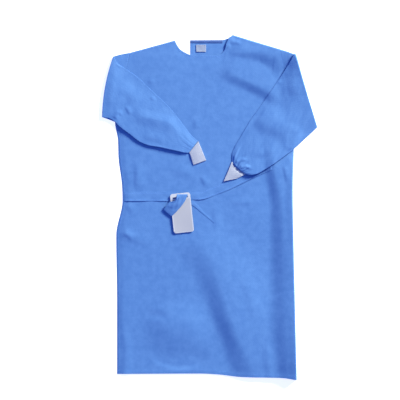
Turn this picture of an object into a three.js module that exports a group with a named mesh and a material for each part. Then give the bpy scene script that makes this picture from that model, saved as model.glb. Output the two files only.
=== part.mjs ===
// A surgical gown of blue nonwoven cloth, laid flat on its back with both sleeves folded over the front.
// Millimetres. +Z is up from the surface it lies on, and +Y runs from the hem to the neck.
// Left and right are as seen from above.

import * as THREE from "three";

const { clamp, degToRad, lerp, smoothstep } = THREE.MathUtils;

// Driving sizes
const cloth = 1.2; // wall of the nonwoven cloth
const knit = 1.4; // wall of the knitted cuffs
const tape = 1.0; // wall of the belts, neck band and label
const seamGap = 0.3; // between pieces that are sewn together
const restGap = 0.6; // between pieces that only lie on each other
const frontLoft = 3; // air between the front and the backs
const sideRoll = 70; // how far in from a side seam the front reaches its loft
const foldRoll = 18; // how far in from a side seam a fold reaches its height
const shoulderRoll = 50; // the same below a shoulder seam
const neckRoll = 45; // the same in from a neck point, along the open neckline
const edgeAir = 0.8; // inside a flattened tube, along its edges
const edgeWalls = 1.4; // walls between a flattened tube's edge and the air inside it
const underSleeveTop = 4.6; // top of the stretch of a sleeve that lies under its fold
const seamCover = { near: 5, far: 40 }; // how far in from a seam that stretch raises what lies over it
const beltCover = { near: 24, far: 44 }; // how far from its centre line a belt does so

// Edges of the body, each from left to right or from the hem up
const leftSide = [
  { y: -601, x: -336 }, // hem corner
  { y: -336, x: -336 },
  { y: -104, x: -339 }, // hip
  { y: 26, x: -316 }, // waist
  { y: 77, x: -318 },
  { y: 186, x: -331 },
  { y: 309, x: -344 }, // underarm
  { y: 555, x: -289 }, // shoulder end of the armhole
];
const rightSide = [
  { y: -625, x: 312 }, // hem corner
  { y: -445, x: 307 },
  { y: -264, x: 303 },
  { y: -82, x: 300 },
  { y: 63, x: 300 }, // waist
  { y: 215, x: 302 }, // underarm
  { y: 572, x: 255 }, // shoulder end of the armhole
];
const hemEdge = [
  { x: -336, y: -601 },
  { x: -35, y: -601 },
  { x: 28, y: -606 },
  { x: 113, y: -615 },
  { x: 264, y: -618 },
  { x: 312, y: -625 },
];
const leftNeck = { x: -127, y: 603 };
const rightNeck = { x: 84, y: 625 };
const neckline = [
  { x: -118, y: 585 },
  { x: -108, y: 570 },
  { x: -90, y: 560 },
  { x: -70, y: 553 },
  { x: -35, y: 551 },
  { x: 19, y: 551 },
  { x: 41, y: 555 },
  { x: 54, y: 572 },
  { x: 61, y: 592 },
  { x: 72, y: 609 },
];
const topEdge = [leftSide.at(-1), leftNeck, ...neckline, rightNeck, rightSide.at(-1)];

// Folds that stand up from the front. Each runs along a straight crest, and its flanks are as wide as given
// on the left and right of the way it runs. It fades in and out over a share of its run.
const frontFolds = [
  // skirt, from below the card to the hem
  { fromX: -87, fromY: -88, toX: 165, toY: -643, rise: 13, left: 120, right: 46, fadeIn: 0.5, fadeOut: 0 },
  // right side, from under the sleeve to the hem
  { fromX: 250, fromY: 130, toX: 302, toY: -660, rise: 12, left: 44, right: 58, fadeIn: 0.3, fadeOut: 0 },
  // chest, below the right shoulder
  { fromX: 40, fromY: 590, toX: 262, toY: 540, rise: 7, left: 40, right: 36, fadeIn: 0.3, fadeOut: 0.3 },
  // chest, above the right elbow
  { fromX: 30, fromY: 512, toX: 225, toY: 410, rise: 9, left: 70, right: 36, fadeIn: 0.4, fadeOut: 0.35 },
  // broad bulge across the left of the skirt
  { fromX: -250, fromY: -440, toX: 20, toY: -425, rise: 8, left: 90, right: 110, fadeIn: 0.4, fadeOut: 0.4 },
  // from the left hip towards the card
  { fromX: -335, fromY: -95, toX: -190, toY: -135, rise: 5, left: 40, right: 30, fadeIn: 0.3, fadeOut: 0.6 },
];
const frontColumns = { leftShoulder: 7, neck: 15, rightShoulder: 9 };
const frontRows = 44;

// Backs: two plain panels with a gap between their straight centre edges
const leftBackEdge = -133;
const rightBackEdge = -71;
const backNeckY = 606;
const backNeckEnd = { x: 50, y: 607 };
const backHemShort = 4; // how far the backs stop short of the front's hem

// Sleeves, a row for each section from the armhole to the wrist: its ends on the overarm and underarm edges,
// the air inside it along its underarm edge, how much more there is at its middle, how far it stands off what
// it lies on, and how much more its underarm edge does. At the crease the sleeve turns back over itself.
const leftSleeve = {
  bow: 9, // how far the crease bows out between its ends
  rows: [
    { overX: -289.4, overY: 555, underX: -344.4, underY: 309, air: 0.8, loft: 0.6, off: 0, lift: 0 },
    { overX: -322, overY: 550, underX: -366, underY: 318, air: 0.8, loft: 1.2, off: 0, lift: 0 },
    { overX: -348, overY: 543, underX: -382, underY: 327, air: 1.2, loft: 1, off: 4, lift: 0, crease: true },
    { overX: -339, overY: 528, underX: -366, underY: 323, air: 1.5, loft: 1.8, off: 4.4, lift: 1 },
    { overX: -318, overY: 510, underX: -344, underY: 310, air: 2, loft: 2.2, off: 3.4, lift: 3 },
    { overX: -293, overY: 494, underX: -326, underY: 292, air: 2.4, loft: 2.2, off: 2.2, lift: 5 },
    { overX: -264, overY: 474, underX: -289, underY: 264, air: 2.6, loft: 2, off: 1.3, lift: 6 },
    { overX: -237, overY: 448, underX: -253, underY: 237, air: 2.6, loft: 2, off: 0.9, lift: 6 },
    { overX: -209, overY: 422, underX: -217, underY: 223, air: 2.6, loft: 2, off: 0.8, lift: 6 },
    { overX: -176, overY: 391, underX: -180, underY: 217, air: 2.6, loft: 2, off: 0.8, lift: 6 },
    { overX: -144, overY: 360, underX: -144, underY: 209, air: 2.6, loft: 2, off: 0.8, lift: 5 },
    { overX: -115, overY: 324, underX: -115, underY: 203, air: 2.6, loft: 2, off: 0.8, lift: 4 },
    { overX: -86, overY: 286, underX: -94, underY: 198, air: 2.4, loft: 2, off: 0.7, lift: 2, gathers: 1.4 },
    { overX: -60, overY: 254, underX: -80, underY: 197, air: 2, loft: 2, off: 0.7, lift: 1, gathers: 1.8 },
    { overX: -42, overY: 240, underX: -74, underY: 199, air: 1, loft: 1.5, off: 0.7, lift: 0 },
  ],
};
const rightSleeve = {
  bow: 0,
  rows: [
    { overX: 255.4, overY: 572, underX: 302.4, underY: 215, air: 0.8, loft: 0.6, off: 0, lift: 0 },
    { overX: 281, overY: 564, underX: 345, underY: 255, air: 0.8, loft: 1.2, off: 0, lift: 0 },
    { overX: 303, overY: 556, underX: 382, underY: 291, air: 1.2, loft: 1, off: 4, lift: 0, crease: true },
    { overX: 291, overY: 527, underX: 362, underY: 270, air: 1.4, loft: 1.6, off: 4.4, lift: 0 },
    { overX: 273, overY: 498, underX: 327, underY: 240, air: 1.8, loft: 2, off: 3.6, lift: 0 },
    { overX: 251, overY: 465, underX: 302, underY: 215, air: 2.2, loft: 2.2, off: 2.8, lift: 0.5 },
    { overX: 219, overY: 418, underX: 273, underY: 187, air: 2.4, loft: 2.2, off: 2, lift: 1 },
    { overX: 182, overY: 364, underX: 237, underY: 161, air: 2.6, loft: 2.2, off: 1.4, lift: 1.5 },
    { overX: 146, overY: 313, underX: 200, underY: 137, air: 2.6, loft: 2.2, off: 1.2, lift: 2 },
    { overX: 112, overY: 256, underX: 168, underY: 120, air: 2.6, loft: 2.2, off: 1, lift: 2 },
    { overX: 90, overY: 217, underX: 150, underY: 117, air: 2.6, loft: 2.2, off: 0.8, lift: 2, gathers: 1.4 },
    { overX: 80, overY: 187, underX: 138, underY: 117, air: 2.2, loft: 2.2, off: 0.7, lift: 1, gathers: 2 },
    { overX: 80, overY: 165, underX: 130, underY: 120, air: 1, loft: 1.5, off: 0.7, lift: 0 },
  ],
};
const sleeveColumns = 13;
const wristGathers = 4; // waves across the wrist
const creaseTurns = [-90, -45, 0, 45, 90];

// Cuffs: knitted tubes, from their seam on the sleeve to their open end
const cuffLoft = 1.6;
const cuffSections = 5;
const cuffRibs = 11; // across one side
const ribHeight = 0.5;
const leftCuff = {
  seam: { overX: -41.6, overY: 239.7, underX: -73.8, underY: 198.6 },
  end: { overX: -13, overY: 170, underX: -59, underY: 153 },
};
const rightCuff = {
  seam: { overX: 79.7, overY: 164.6, underX: 129.7, underY: 119.6 },
  end: { overX: 50, overY: 93, underX: 99, underY: 104 },
};

// Belts, a row for each point of a centre line with the strip's width there
const beltLeft = [
  { x: -312, y: 38.5, width: 33 },
  { x: -240, y: 39, width: 33 },
  { x: -150, y: 38, width: 33 },
  { x: -116, y: 32, width: 24 },
];
const beltRight = [
  { x: -86, y: 37, width: 20 },
  { x: -62, y: 41, width: 27 },
  { x: -36, y: 42, width: 29 },
  { x: 12, y: 57, width: 31 },
  { x: 66, y: 79, width: 31 },
  { x: 139, y: 113, width: 28 },
  { x: 219, y: 148, width: 26 },
  { x: 294, y: 184, width: 26 },
];
const beltTail = [
  { x: -80, y: 18, width: 10 },
  { x: -62, y: 13, width: 13 },
  { x: -20, y: -22, width: 9 },
  { x: 17, y: -55, width: 3 },
];
const beltStep = 14;
const beltCells = 3; // across a strip

// Card that holds the belts, with the slot that the end of the belt is drawn through
const card = { x: -100.7, y: -20.5, width: 73, length: 143, corner: 9, turn: 6, wall: 0.9 };
const cardSlot = { fromTop: 13, width: 56, height: 5 };
const cornerSegments = 5;

// End of the belt, drawn up through the slot, laid over the card and turned back under itself.
// Heights are above the top of the card, and aim is the way across the strip.
const beltLoop = [
  { x: -106.6, y: 35.2, z: -1.4, width: 46, aim: 6 },
  { x: -107, y: 34.4, z: 1.6, width: 45, aim: 2 },
  { x: -112, y: 29, z: 4.4, width: 43, aim: -14 },
  { x: -127, y: 12, z: 4.6, width: 42, aim: -34 },
  { x: -141, y: -6, z: 4.6, width: 42, aim: -38 },
  { x: -153, y: -20, z: 4.4, width: 41, aim: -40 },
  { x: -160, y: -28, z: 2.2, width: 40, aim: -41 },
  { x: -156, y: -23.5, z: 0, width: 38, aim: -41 },
  { x: -149, y: -15, z: -0.6, width: 26, aim: -41 },
];
const beltLoopSteps = 26;

// Neck band and label, on the inside of the right back
const neckBand = { width: 118, height: 10 };
const label = { x: -31.8, y: 576.2, width: 36, height: 26 };

// Finishes
const blueCloth = new THREE.MeshStandardMaterial({ color: 0x5b90e0, roughness: 0.85, metalness: 0 });
const darkCloth = new THREE.MeshStandardMaterial({ color: 0x3f6fc6, roughness: 0.85, metalness: 0 });
const whiteKnit = new THREE.MeshStandardMaterial({ color: 0xdfe3ee, roughness: 0.9, metalness: 0 });
const whiteCard = new THREE.MeshStandardMaterial({ color: 0xe2e4ec, roughness: 0.6, metalness: 0 });

// The value in one column of a table where another column has the value given, straight between rows
function lookUp(rows, given, wanted, value) {
  const after = rows.findIndex((row) => row[given] > value);
  const upper = after < 0 ? rows.length - 1 : Math.max(after, 1);
  const a = rows[upper - 1];
  const b = rows[upper];
  return lerp(a[wanted], b[wanted], clamp((value - a[given]) / (b[given] - a[given]), 0, 1));
}

const leftX = (y) => lookUp(leftSide, "y", "x", y);
const rightX = (y) => lookUp(rightSide, "y", "x", y);
const hemY = (x) => lookUp(hemEdge, "x", "y", x);
const topY = (x) => lookUp(topEdge, "x", "y", x);
const insideSides = (x, y) => Math.min(x - leftX(y), rightX(y) - x);

// How high a fold stands at a point: a half cosine on each flank, fading at its ends
function foldHeight(fold, x, y) {
  const run = Math.hypot(fold.toX - fold.fromX, fold.toY - fold.fromY);
  const stepX = (fold.toX - fold.fromX) / run;
  const stepY = (fold.toY - fold.fromY) / run;
  const along = ((x - fold.fromX) * stepX + (y - fold.fromY) * stepY) / run;
  const toLeft = (y - fold.fromY) * stepX - (x - fold.fromX) * stepY;
  const flank = Math.min(Math.abs(toLeft) / (toLeft > 0 ? fold.left : fold.right), 1);
  const fade = smoothstep(along, 0, fold.fadeIn) * (1 - smoothstep(along, 1 - fold.fadeOut, 1));
  return (fold.rise * fade * (1 + Math.cos(Math.PI * flank))) / 2;
}

// Underside and top of the front: it meets the backs along its sides and shoulders, and it is open at the
// neck and hem
function frontUnder(x, y) {
  const inside = insideSides(x, y);
  const shoulder = smoothstep(topY(x) - y, 0, shoulderRoll);
  const atNeck = smoothstep(Math.min(x - leftNeck.x, rightNeck.x - x), 0, neckRoll);
  const folds = frontFolds.reduce((sum, fold) => sum + foldHeight(fold, x, y), 0);
  const lift = frontLoft * smoothstep(inside, 0, sideRoll) + folds * smoothstep(inside, 0, foldRoll);
  return cloth + seamGap + lift * Math.max(shoulder, atNeck);
}

const frontTop = (x, y) => frontUnder(x, y) + cloth;

// A closed solid from its points and triangles, with its faces turned outwards
function solid(points, triangles) {
  const sixVolumes = (i) => {
    const [a, b, c] = [0, 1, 2].map((k) => points[triangles[i + k]]);
    return a.dot(b.clone().cross(c));
  };
  let volume = 0;
  for (let i = 0; i < triangles.length; i += 3) {
    volume += sixVolumes(i);
  }
  const geometry = new THREE.BufferGeometry().setFromPoints(points);
  geometry.setIndex(volume < 0 ? triangles.toReversed() : triangles);
  geometry.computeVertexNormals();
  return geometry;
}

// A wall between two grids of points, closed round its edges
function closedSheet(top, under) {
  const rows = top.length;
  const columns = top[0].length;
  const below = rows * columns;
  const at = (row, column) => row * columns + column;
  const triangles = [];
  const quad = (a, b, c, d) => triangles.push(a, b, c, a, c, d);
  for (let r = 0; r < rows - 1; r += 1) {
    for (let c = 0; c < columns - 1; c += 1) {
      const corners = [at(r, c + 1), at(r + 1, c + 1), at(r + 1, c), at(r, c)];
      quad(...corners);
      const [a, b, d, e] = corners.map((corner) => corner + below);
      triangles.push(a, d, b, a, e, d);
    }
  }
  const wall = (a, b) => quad(b, a, a + below, b + below);
  for (let c = 0; c < columns - 1; c += 1) {
    wall(at(0, c), at(0, c + 1));
    wall(at(rows - 1, c + 1), at(rows - 1, c));
  }
  for (let r = 0; r < rows - 1; r += 1) {
    wall(at(r + 1, 0), at(r, 0));
    wall(at(r, columns - 1), at(r + 1, columns - 1));
  }
  return solid([...top.flat(), ...under.flat()], triangles);
}

// A tube wall from rings of points outside and inside it, open at both ends
function openTube(rings) {
  const count = rings[0].outer.length;
  const inside = rings.length * count;
  const triangles = [];
  const quad = (a, b, c, d) => triangles.push(a, b, c, a, c, d);
  for (let i = 0; i < count; i += 1) {
    const next = (i + 1) % count;
    for (let r = 0; r < rings.length - 1; r += 1) {
      const corners = [r * count + i, r * count + next, (r + 1) * count + next, (r + 1) * count + i];
      quad(...corners);
      const [a, b, d, e] = corners.map((corner) => corner + inside);
      triangles.push(a, d, b, a, e, d);
    }
    const last = (rings.length - 1) * count;
    quad(next, i, i + inside, next + inside);
    quad(last + i, last + next, last + next + inside, last + i + inside);
  }
  const points = [...rings.flatMap((ring) => ring.outer), ...rings.flatMap((ring) => ring.inner)];
  return solid(points, triangles);
}

// One ring of a flattened tube. place gives the point of a skin at a share of the width, and the skins are
// numbered from the side that lies down: outside, inside, inside of the other wall and outside of it.
function flatRing(width, wall, columns, place) {
  const inset = (edgeWalls * wall) / width;
  const edge = (share, a, b) => place(share, a).add(place(share, b)).multiplyScalar(0.5);
  const loop = (low, high, start, end) => [
    edge(start, low, high),
    ...columns.map((column) => place(lerp(start, end, column), high)),
    edge(end, low, high),
    ...columns.toReversed().map((column) => place(lerp(start, end, column), low)),
  ];
  return { outer: loop(0, 3, 0, 1), inner: loop(1, 2, inset, 1 - inset) };
}

function front() {
  const { leftShoulder, neck, rightShoulder } = frontColumns;
  const armholes = [leftSide.at(-1), rightSide.at(-1)];
  const stretch = (from, to, count) => Array.from({ length: count }, (_, i) => lerp(from, to, i / count));
  const tops = [
    ...stretch(armholes[0].x, leftNeck.x, leftShoulder),
    ...stretch(leftNeck.x, rightNeck.x, neck),
    ...stretch(rightNeck.x, armholes[1].x, rightShoulder),
    armholes[1].x,
  ];
  const hem = [hemEdge[0], hemEdge.at(-1)];
  const top = [];
  const under = [];
  for (let r = 0; r <= frontRows; r += 1) {
    const up = r / frontRows;
    const left = leftX(lerp(hem[0].y, armholes[0].y, up));
    const right = rightX(lerp(hem[1].y, armholes[1].y, up));
    const points = tops.map((topX) => {
      const across = (topX - armholes[0].x) / (armholes[1].x - armholes[0].x);
      const y = lerp(hemY(lerp(hem[0].x, hem[1].x, across)), topY(topX), up);
      return new THREE.Vector2(lerp(left, right, across), y);
    });
    top.push(points.map(({ x, y }) => new THREE.Vector3(x, y, frontTop(x, y))));
    under.push(points.map(({ x, y }) => new THREE.Vector3(x, y, frontUnder(x, y))));
  }
  return closedSheet(top, under);
}

function back(outline) {
  const shape = new THREE.Shape(outline.map(({ x, y }) => new THREE.Vector2(x, y)));
  return new THREE.ExtrudeGeometry(shape, { depth: cloth, bevelEnabled: false });
}

const raised = (points) => points.map(({ x, y }) => ({ x, y: y + backHemShort }));

function leftBack() {
  const hem = raised(hemEdge.slice(0, 1));
  const hemEnd = { x: leftBackEdge, y: hemY(leftBackEdge) + backHemShort };
  const neckEnd = { x: leftBackEdge, y: topY(leftBackEdge) };
  return back([...hem, hemEnd, neckEnd, ...leftSide.slice(1).toReversed()]);
}

function rightBack() {
  const hemStart = { x: rightBackEdge, y: hemY(rightBackEdge) + backHemShort };
  const hem = raised(hemEdge.filter(({ x }) => x > rightBackEdge));
  const neck = [rightNeck, neckline.at(-1), backNeckEnd, { x: rightBackEdge, y: backNeckY }];
  return back([hemStart, ...hem, ...rightSide.slice(1), ...neck]);
}

// Height of what a folded-over sleeve or a cuff lies on: the front, the belt across it, or the sleeve's own
// start
function restingOn(x, y) {
  const pastSeam = 1 - smoothstep(insideSides(x, y), seamCover.near, seamCover.far);
  const nearest = Math.min(...beltRight.slice(1).map((row, i) => distanceTo(beltRight[i], row, x, y)));
  const overBelt = (tape + restGap) * (1 - smoothstep(nearest, beltCover.near, beltCover.far));
  return Math.max(frontTop(x, y) + overBelt, underSleeveTop * pastSeam);
}

// Distance from a point to the straight stretch between two others
function distanceTo(a, b, x, y) {
  const stretch = new THREE.Line3(new THREE.Vector3(a.x, a.y), new THREE.Vector3(b.x, b.y));
  const point = new THREE.Vector3(x, y);
  return stretch.closestPointToPoint(point, true, new THREE.Vector3()).distanceTo(point);
}

// A point of a sleeve's skin. Skins are numbered out from the inside of the fold, so the stretch before the
// crease lies upside down. Round the crease each skin turns on a half circle about the middle of the fold.
function sleevePoint(row, out, bow, turn, share, skin) {
  const bulge = 4 * bow * share * (1 - share);
  const x = lerp(row.overX, row.underX, share) + out.x * bulge;
  const y = lerp(row.overY, row.underY, share) + out.y * bulge;
  const wave = (row.gathers ?? 0) * Math.cos(2 * Math.PI * wristGathers * share);
  const air = lerp(edgeAir, row.air, share) + (row.loft + wave) * Math.sin(Math.PI * share);
  const depth = [0, cloth, cloth + air, 2 * cloth + air];
  const low = depth[3] - depth[skin];
  const high = restingOn(x, y) + row.off + row.lift * share ** 2 + depth[skin];
  const radius = (high - low) / 2;
  const reach = radius * Math.cos(degToRad(turn));
  const height = (high + low) / 2 + radius * Math.sin(degToRad(turn));
  return new THREE.Vector3(x + out.x * reach, y + out.y * reach, height);
}

function sleeve({ rows, bow }, side) {
  const columns = Array.from({ length: sleeveColumns }, (_, i) => {
    return (1 - Math.cos((Math.PI * (i + 1)) / (sleeveColumns + 1))) / 2;
  });
  const creaseAt = rows.findIndex((row) => row.crease);
  const crease = rows[creaseAt];
  const along = new THREE.Vector2(crease.underX - crease.overX, crease.underY - crease.overY).normalize();
  const out = new THREE.Vector2(-along.y, along.x).multiplyScalar(side);
  const ring = (row, turn, bend) => {
    const width = Math.hypot(row.underX - row.overX, row.underY - row.overY);
    return flatRing(width, cloth, columns, (share, skin) => sleevePoint(row, out, bend, turn, share, skin));
  };
  return openTube([
    ...rows.slice(0, creaseAt).map((row) => ring(row, creaseTurns[0], 0)),
    ...creaseTurns.map((turn) => ring(crease, turn, bow)),
    ...rows.slice(creaseAt + 1).map((row) => ring(row, creaseTurns.at(-1), 0)),
  ]);
}

function cuff({ seam, end }) {
  const columns = Array.from({ length: 2 * cuffRibs }, (_, i) => (i + 0.5) / (2 * cuffRibs));
  const rings = [];
  for (let s = 0; s < cuffSections; s += 1) {
    const down = s / (cuffSections - 1);
    const over = new THREE.Vector2(lerp(seam.overX, end.overX, down), lerp(seam.overY, end.overY, down));
    const under = new THREE.Vector2(lerp(seam.underX, end.underX, down), lerp(seam.underY, end.underY, down));
    const place = (share, skin) => {
      const { x, y } = over.clone().lerp(under, share);
      const air = edgeAir + cuffLoft * Math.sin(Math.PI * share);
      const depth = [0, knit, knit + air, 2 * knit + air];
      const rib = (ribHeight / 2) * Math.sin(2 * Math.PI * cuffRibs * share);
      const raise = [-rib - ribHeight / 2, 0, 0, rib + ribHeight / 2][skin];
      return new THREE.Vector3(x, y, restingOn(x, y) + restGap + ribHeight + depth[skin] + raise);
    };
    rings.push(flatRing(over.distanceTo(under), knit, columns, place));
  }
  return openTube(rings);
}

// A strip that lies on the front along its centre line
function laidStrip(rows) {
  const path = new THREE.CatmullRomCurve3(rows.map(({ x, y, width }) => new THREE.Vector3(x, y, width)));
  const steps = Math.ceil(path.getLength() / beltStep);
  const top = [];
  const under = [];
  for (let s = 0; s <= steps; s += 1) {
    const { x, y, z: width } = path.getPoint(s / steps);
    const way = path.getTangent(s / steps);
    const across = new THREE.Vector2(-way.y, way.x).normalize();
    const points = Array.from({ length: beltCells + 1 }, (_, i) => {
      const aside = width * (i / beltCells - 0.5);
      const [px, py] = [x + across.x * aside, y + across.y * aside];
      return new THREE.Vector3(px, py, frontTop(px, py) + restGap);
    });
    under.push(points);
    top.push(points.map((point) => point.clone().setZ(point.z + tape)));
  }
  return closedSheet(top, under);
}

// Underside of the card, just clear of the belts that it lies on
const cardUnder = (() => {
  const corners = [-0.5, 0, 0.5].flatMap((u) => [-0.5, 0, 0.5].map((v) => [u * card.width, v * card.length]));
  return Math.max(...corners.map(([x, y]) => frontTop(card.x + x, card.y + y))) + 2 * restGap + tape;
})();

function transferCard() {
  const [w, l, r] = [card.width / 2, card.length / 2, card.corner];
  const shape = new THREE.Shape();
  shape.absarc(w - r, l - r, r, 0, Math.PI / 2);
  shape.absarc(r - w, l - r, r, Math.PI / 2, Math.PI);
  shape.absarc(r - w, r - l, r, Math.PI, 1.5 * Math.PI);
  shape.absarc(w - r, r - l, r, 1.5 * Math.PI, 2 * Math.PI);
  const slotTop = l - cardSlot.fromTop;
  const slotX = cardSlot.width / 2;
  shape.holes.push(
    new THREE.Path([
      new THREE.Vector2(-slotX, slotTop),
      new THREE.Vector2(slotX, slotTop),
      new THREE.Vector2(slotX, slotTop - cardSlot.height),
      new THREE.Vector2(-slotX, slotTop - cardSlot.height),
    ]),
  );
  const settings = { depth: card.wall, bevelEnabled: false, curveSegments: cornerSegments };
  return new THREE.ExtrudeGeometry(shape, settings);
}

// The strip's wall is set half on each side of its path, square to the path and to the way across it
function loopStrip() {
  const base = cardUnder + card.wall + restGap;
  const places = beltLoop.map(({ x, y, z }) => new THREE.Vector3(x, y, base + z));
  const shapes = beltLoop.map(({ width, aim }) => new THREE.Vector3(width, aim, 0));
  const path = new THREE.CatmullRomCurve3(places);
  const shape = new THREE.CatmullRomCurve3(shapes);
  const top = [];
  const under = [];
  for (let s = 0; s <= beltLoopSteps; s += 1) {
    const share = s / beltLoopSteps;
    const { x: width, y: aim } = shape.getPoint(share);
    const across = new THREE.Vector3(Math.cos(degToRad(aim)), Math.sin(degToRad(aim)), 0);
    const normal = path.getTangent(share).cross(across).normalize().multiplyScalar(tape / 2);
    const points = Array.from({ length: beltCells + 1 }, (_, i) => {
      return path.getPoint(share).addScaledVector(across, width * (i / beltCells - 0.5));
    });
    top.push(points.map((point) => point.clone().add(normal)));
    under.push(points.map((point) => point.clone().sub(normal)));
  }
  return closedSheet(top, under);
}

const gown = new THREE.Group();

function add(name, geometry, material) {
  const mesh = new THREE.Mesh(geometry, material);
  mesh.name = name;
  gown.add(mesh);
  return mesh;
}

add("back_left", leftBack(), blueCloth);
add("back_right", rightBack(), blueCloth);
add("front", front(), blueCloth);
add("sleeve_left", sleeve(leftSleeve, -1), blueCloth);
add("sleeve_right", sleeve(rightSleeve, 1), blueCloth);
add("cuff_left", cuff(leftCuff), whiteKnit);
add("cuff_right", cuff(rightCuff), whiteKnit);
add("belt_left", laidStrip(beltLeft), blueCloth);
add("belt_right", laidStrip(beltRight), blueCloth);
add("belt_tail", laidStrip(beltTail), blueCloth);
add("belt_loop", loopStrip(), blueCloth);

const cardMesh = add("transfer_card", transferCard(), whiteCard);
cardMesh.position.set(card.x, card.y, cardUnder);
cardMesh.rotation.z = degToRad(card.turn);

const onBack = cloth + seamGap + tape / 2;
const bandMesh = add("neck_band", new THREE.BoxGeometry(neckBand.width, neckBand.height, tape), darkCloth);
bandMesh.position.set(rightBackEdge + neckBand.width / 2, backNeckY - neckBand.height / 2, onBack);
const labelMesh = add("label", new THREE.BoxGeometry(label.width, label.height, tape), whiteCard);
labelMesh.position.set(label.x, label.y, onBack);

export default gown;
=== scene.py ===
import math

import bpy
import numpy as np
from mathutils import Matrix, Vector


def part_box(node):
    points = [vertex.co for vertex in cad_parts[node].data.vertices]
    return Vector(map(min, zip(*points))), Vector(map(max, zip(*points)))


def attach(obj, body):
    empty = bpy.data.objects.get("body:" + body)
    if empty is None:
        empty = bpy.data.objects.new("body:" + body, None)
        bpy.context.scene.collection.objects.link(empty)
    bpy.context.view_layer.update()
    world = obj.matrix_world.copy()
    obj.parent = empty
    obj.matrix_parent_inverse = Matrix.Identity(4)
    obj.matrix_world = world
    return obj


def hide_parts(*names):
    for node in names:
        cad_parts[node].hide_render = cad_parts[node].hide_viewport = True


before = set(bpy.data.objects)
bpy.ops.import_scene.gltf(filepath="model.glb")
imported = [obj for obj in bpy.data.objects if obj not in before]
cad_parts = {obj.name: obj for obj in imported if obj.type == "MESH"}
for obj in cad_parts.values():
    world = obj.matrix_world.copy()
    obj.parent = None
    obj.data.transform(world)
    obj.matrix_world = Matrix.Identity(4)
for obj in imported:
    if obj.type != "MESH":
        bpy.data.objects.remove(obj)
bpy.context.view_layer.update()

mm = 0.001  # every table is in millimetres, and a mesh takes it in metres
root = "root"
print("frame loaded:", len(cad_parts), "nodes")


# Smooth step: 0 up to low, 1 from high on, and 3t^2 - 2t^3 between them
def ease(value, low, high):
    t = np.clip((value - low) / (high - low), 0, 1)
    return t * t * (3 - 2 * t)


# The other way: 1 up to low and 0 from high on
def fade(value, low, high):
    return 1 - ease(value, low, high)


# Straight from one value to another, by a share of the way
def mix(start, end, share):
    return start + (end - start) * share


# Cubic curve through points that never overshoots them: the slope at a point is the harmonic mean of the
# slopes on both sides of it, or level where they turn. Rows of several values give as many curves.
def easedCurve(at, xs, ys):
    xs = np.asarray(xs, float)
    ys = np.asarray(ys, float).reshape(len(xs), -1)
    steps = np.diff(xs)[:, None]
    slopes = np.diff(ys, axis=0) / steps
    product = slopes[1:] * slopes[:-1]
    total = np.where(product > 0, slopes[1:] + slopes[:-1], 1)
    inner = np.where(product > 0, 2 * product / total, 0)
    tangents = np.concatenate([slopes[:1], inner, slopes[-1:]])
    at = np.asarray(at, float)
    i = np.clip(np.searchsorted(xs, at, side="right") - 1, 0, len(xs) - 2)
    h = steps[i]
    t = np.clip((at - xs[i])[..., None] / h, 0, 1)
    value = ys[i] * (1 + 2 * t) * (1 - t) ** 2 + ys[i + 1] * t * t * (3 - 2 * t)
    value = value + tangents[i] * h * t * (1 - t) ** 2 + tangents[i + 1] * h * t * t * (t - 1)
    return value[..., 0] if value.shape[-1] == 1 else value


# Distance along a line to each of its points
def runAlong(line):
    return np.concatenate([[0], np.cumsum(np.linalg.norm(np.diff(line, axis=0), axis=1))])


# Distance of places from a line, how far along it their nearest points are, and the side of it that they lie
# on, above 0 to the left of the way it runs
def nearLine(x, y, line):
    starts = runAlong(line)
    nearest = np.full(np.broadcast(x, y).shape, np.inf)
    along = np.zeros(nearest.shape)
    side = np.zeros(nearest.shape)
    for start, step, length, before in zip(line, np.diff(line, axis=0), np.diff(starts), starts):
        way = step / length
        awayX, awayY = x - start[0], y - start[1]
        run = np.clip(awayX * way[0] + awayY * way[1], 0, length)
        gap = np.hypot(awayX - run * way[0], awayY - run * way[1])
        closer = gap < nearest
        nearest = np.where(closer, gap, nearest)
        along = np.where(closer, before + run, along)
        side = np.where(closer, awayY * way[0] - awayX * way[1], side)
    return nearest, along, side


# Soft ridges and troughs. A row has a line, the rise, the widths of the flanks to the left and right of the
# way it runs, the shares of its run in which it fades in and out and, for a sharper crest, how sharp it is.
# The height is the rise times a half cosine of the distance from the line over the flank on that side. Rise
# and flanks are one value or one for each point of the line.
def creaseHeight(x, y, creases):
    height = np.zeros(np.broadcast(x, y).shape)
    for points, rise, left, right, (fadeIn, fadeOut), *crest in creases:
        line = np.array(points, float)
        starts = runAlong(line)
        gap, along, side = nearLine(x, y, line)
        rise, left, right = [
            np.interp(along, starts, np.broadcast_to(value, starts.shape)) for value in (rise, left, right)
        ]
        flank = np.clip(gap / np.where(side > 0, left, right), 0, 1)
        sharp = crest[0] if crest else 0
        profile = (1 - sharp) * (1 + np.cos(np.pi * flank)) / 2 + sharp * (1 - flank) ** 2
        share = along / starts[-1]
        shown = ease(share, 0, fadeIn) if fadeIn else 1
        shown = shown * fade(share, 1 - fadeOut, 1) if fadeOut else shown
        height = height + rise * shown * profile
    return height


# Low uneven waves of laid cloth: a sum of sines of x and y with wavelengths and turns drawn once from a seed
def unevenness(x, y, seed, height, wavelength):
    draw = np.random.default_rng(seed)
    total = np.zeros(np.broadcast(x, y).shape)
    waves = 9
    for turn, stretch, phase in draw.uniform((0, 0.6, 0), (np.pi, 1.9, 2 * np.pi), (waves, 3)):
        reach = (x * np.cos(turn) + y * np.sin(turn)) / (wavelength * stretch)
        total = total + np.sin(2 * np.pi * reach + phase)
    return height * total / math.sqrt(waves)


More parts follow.
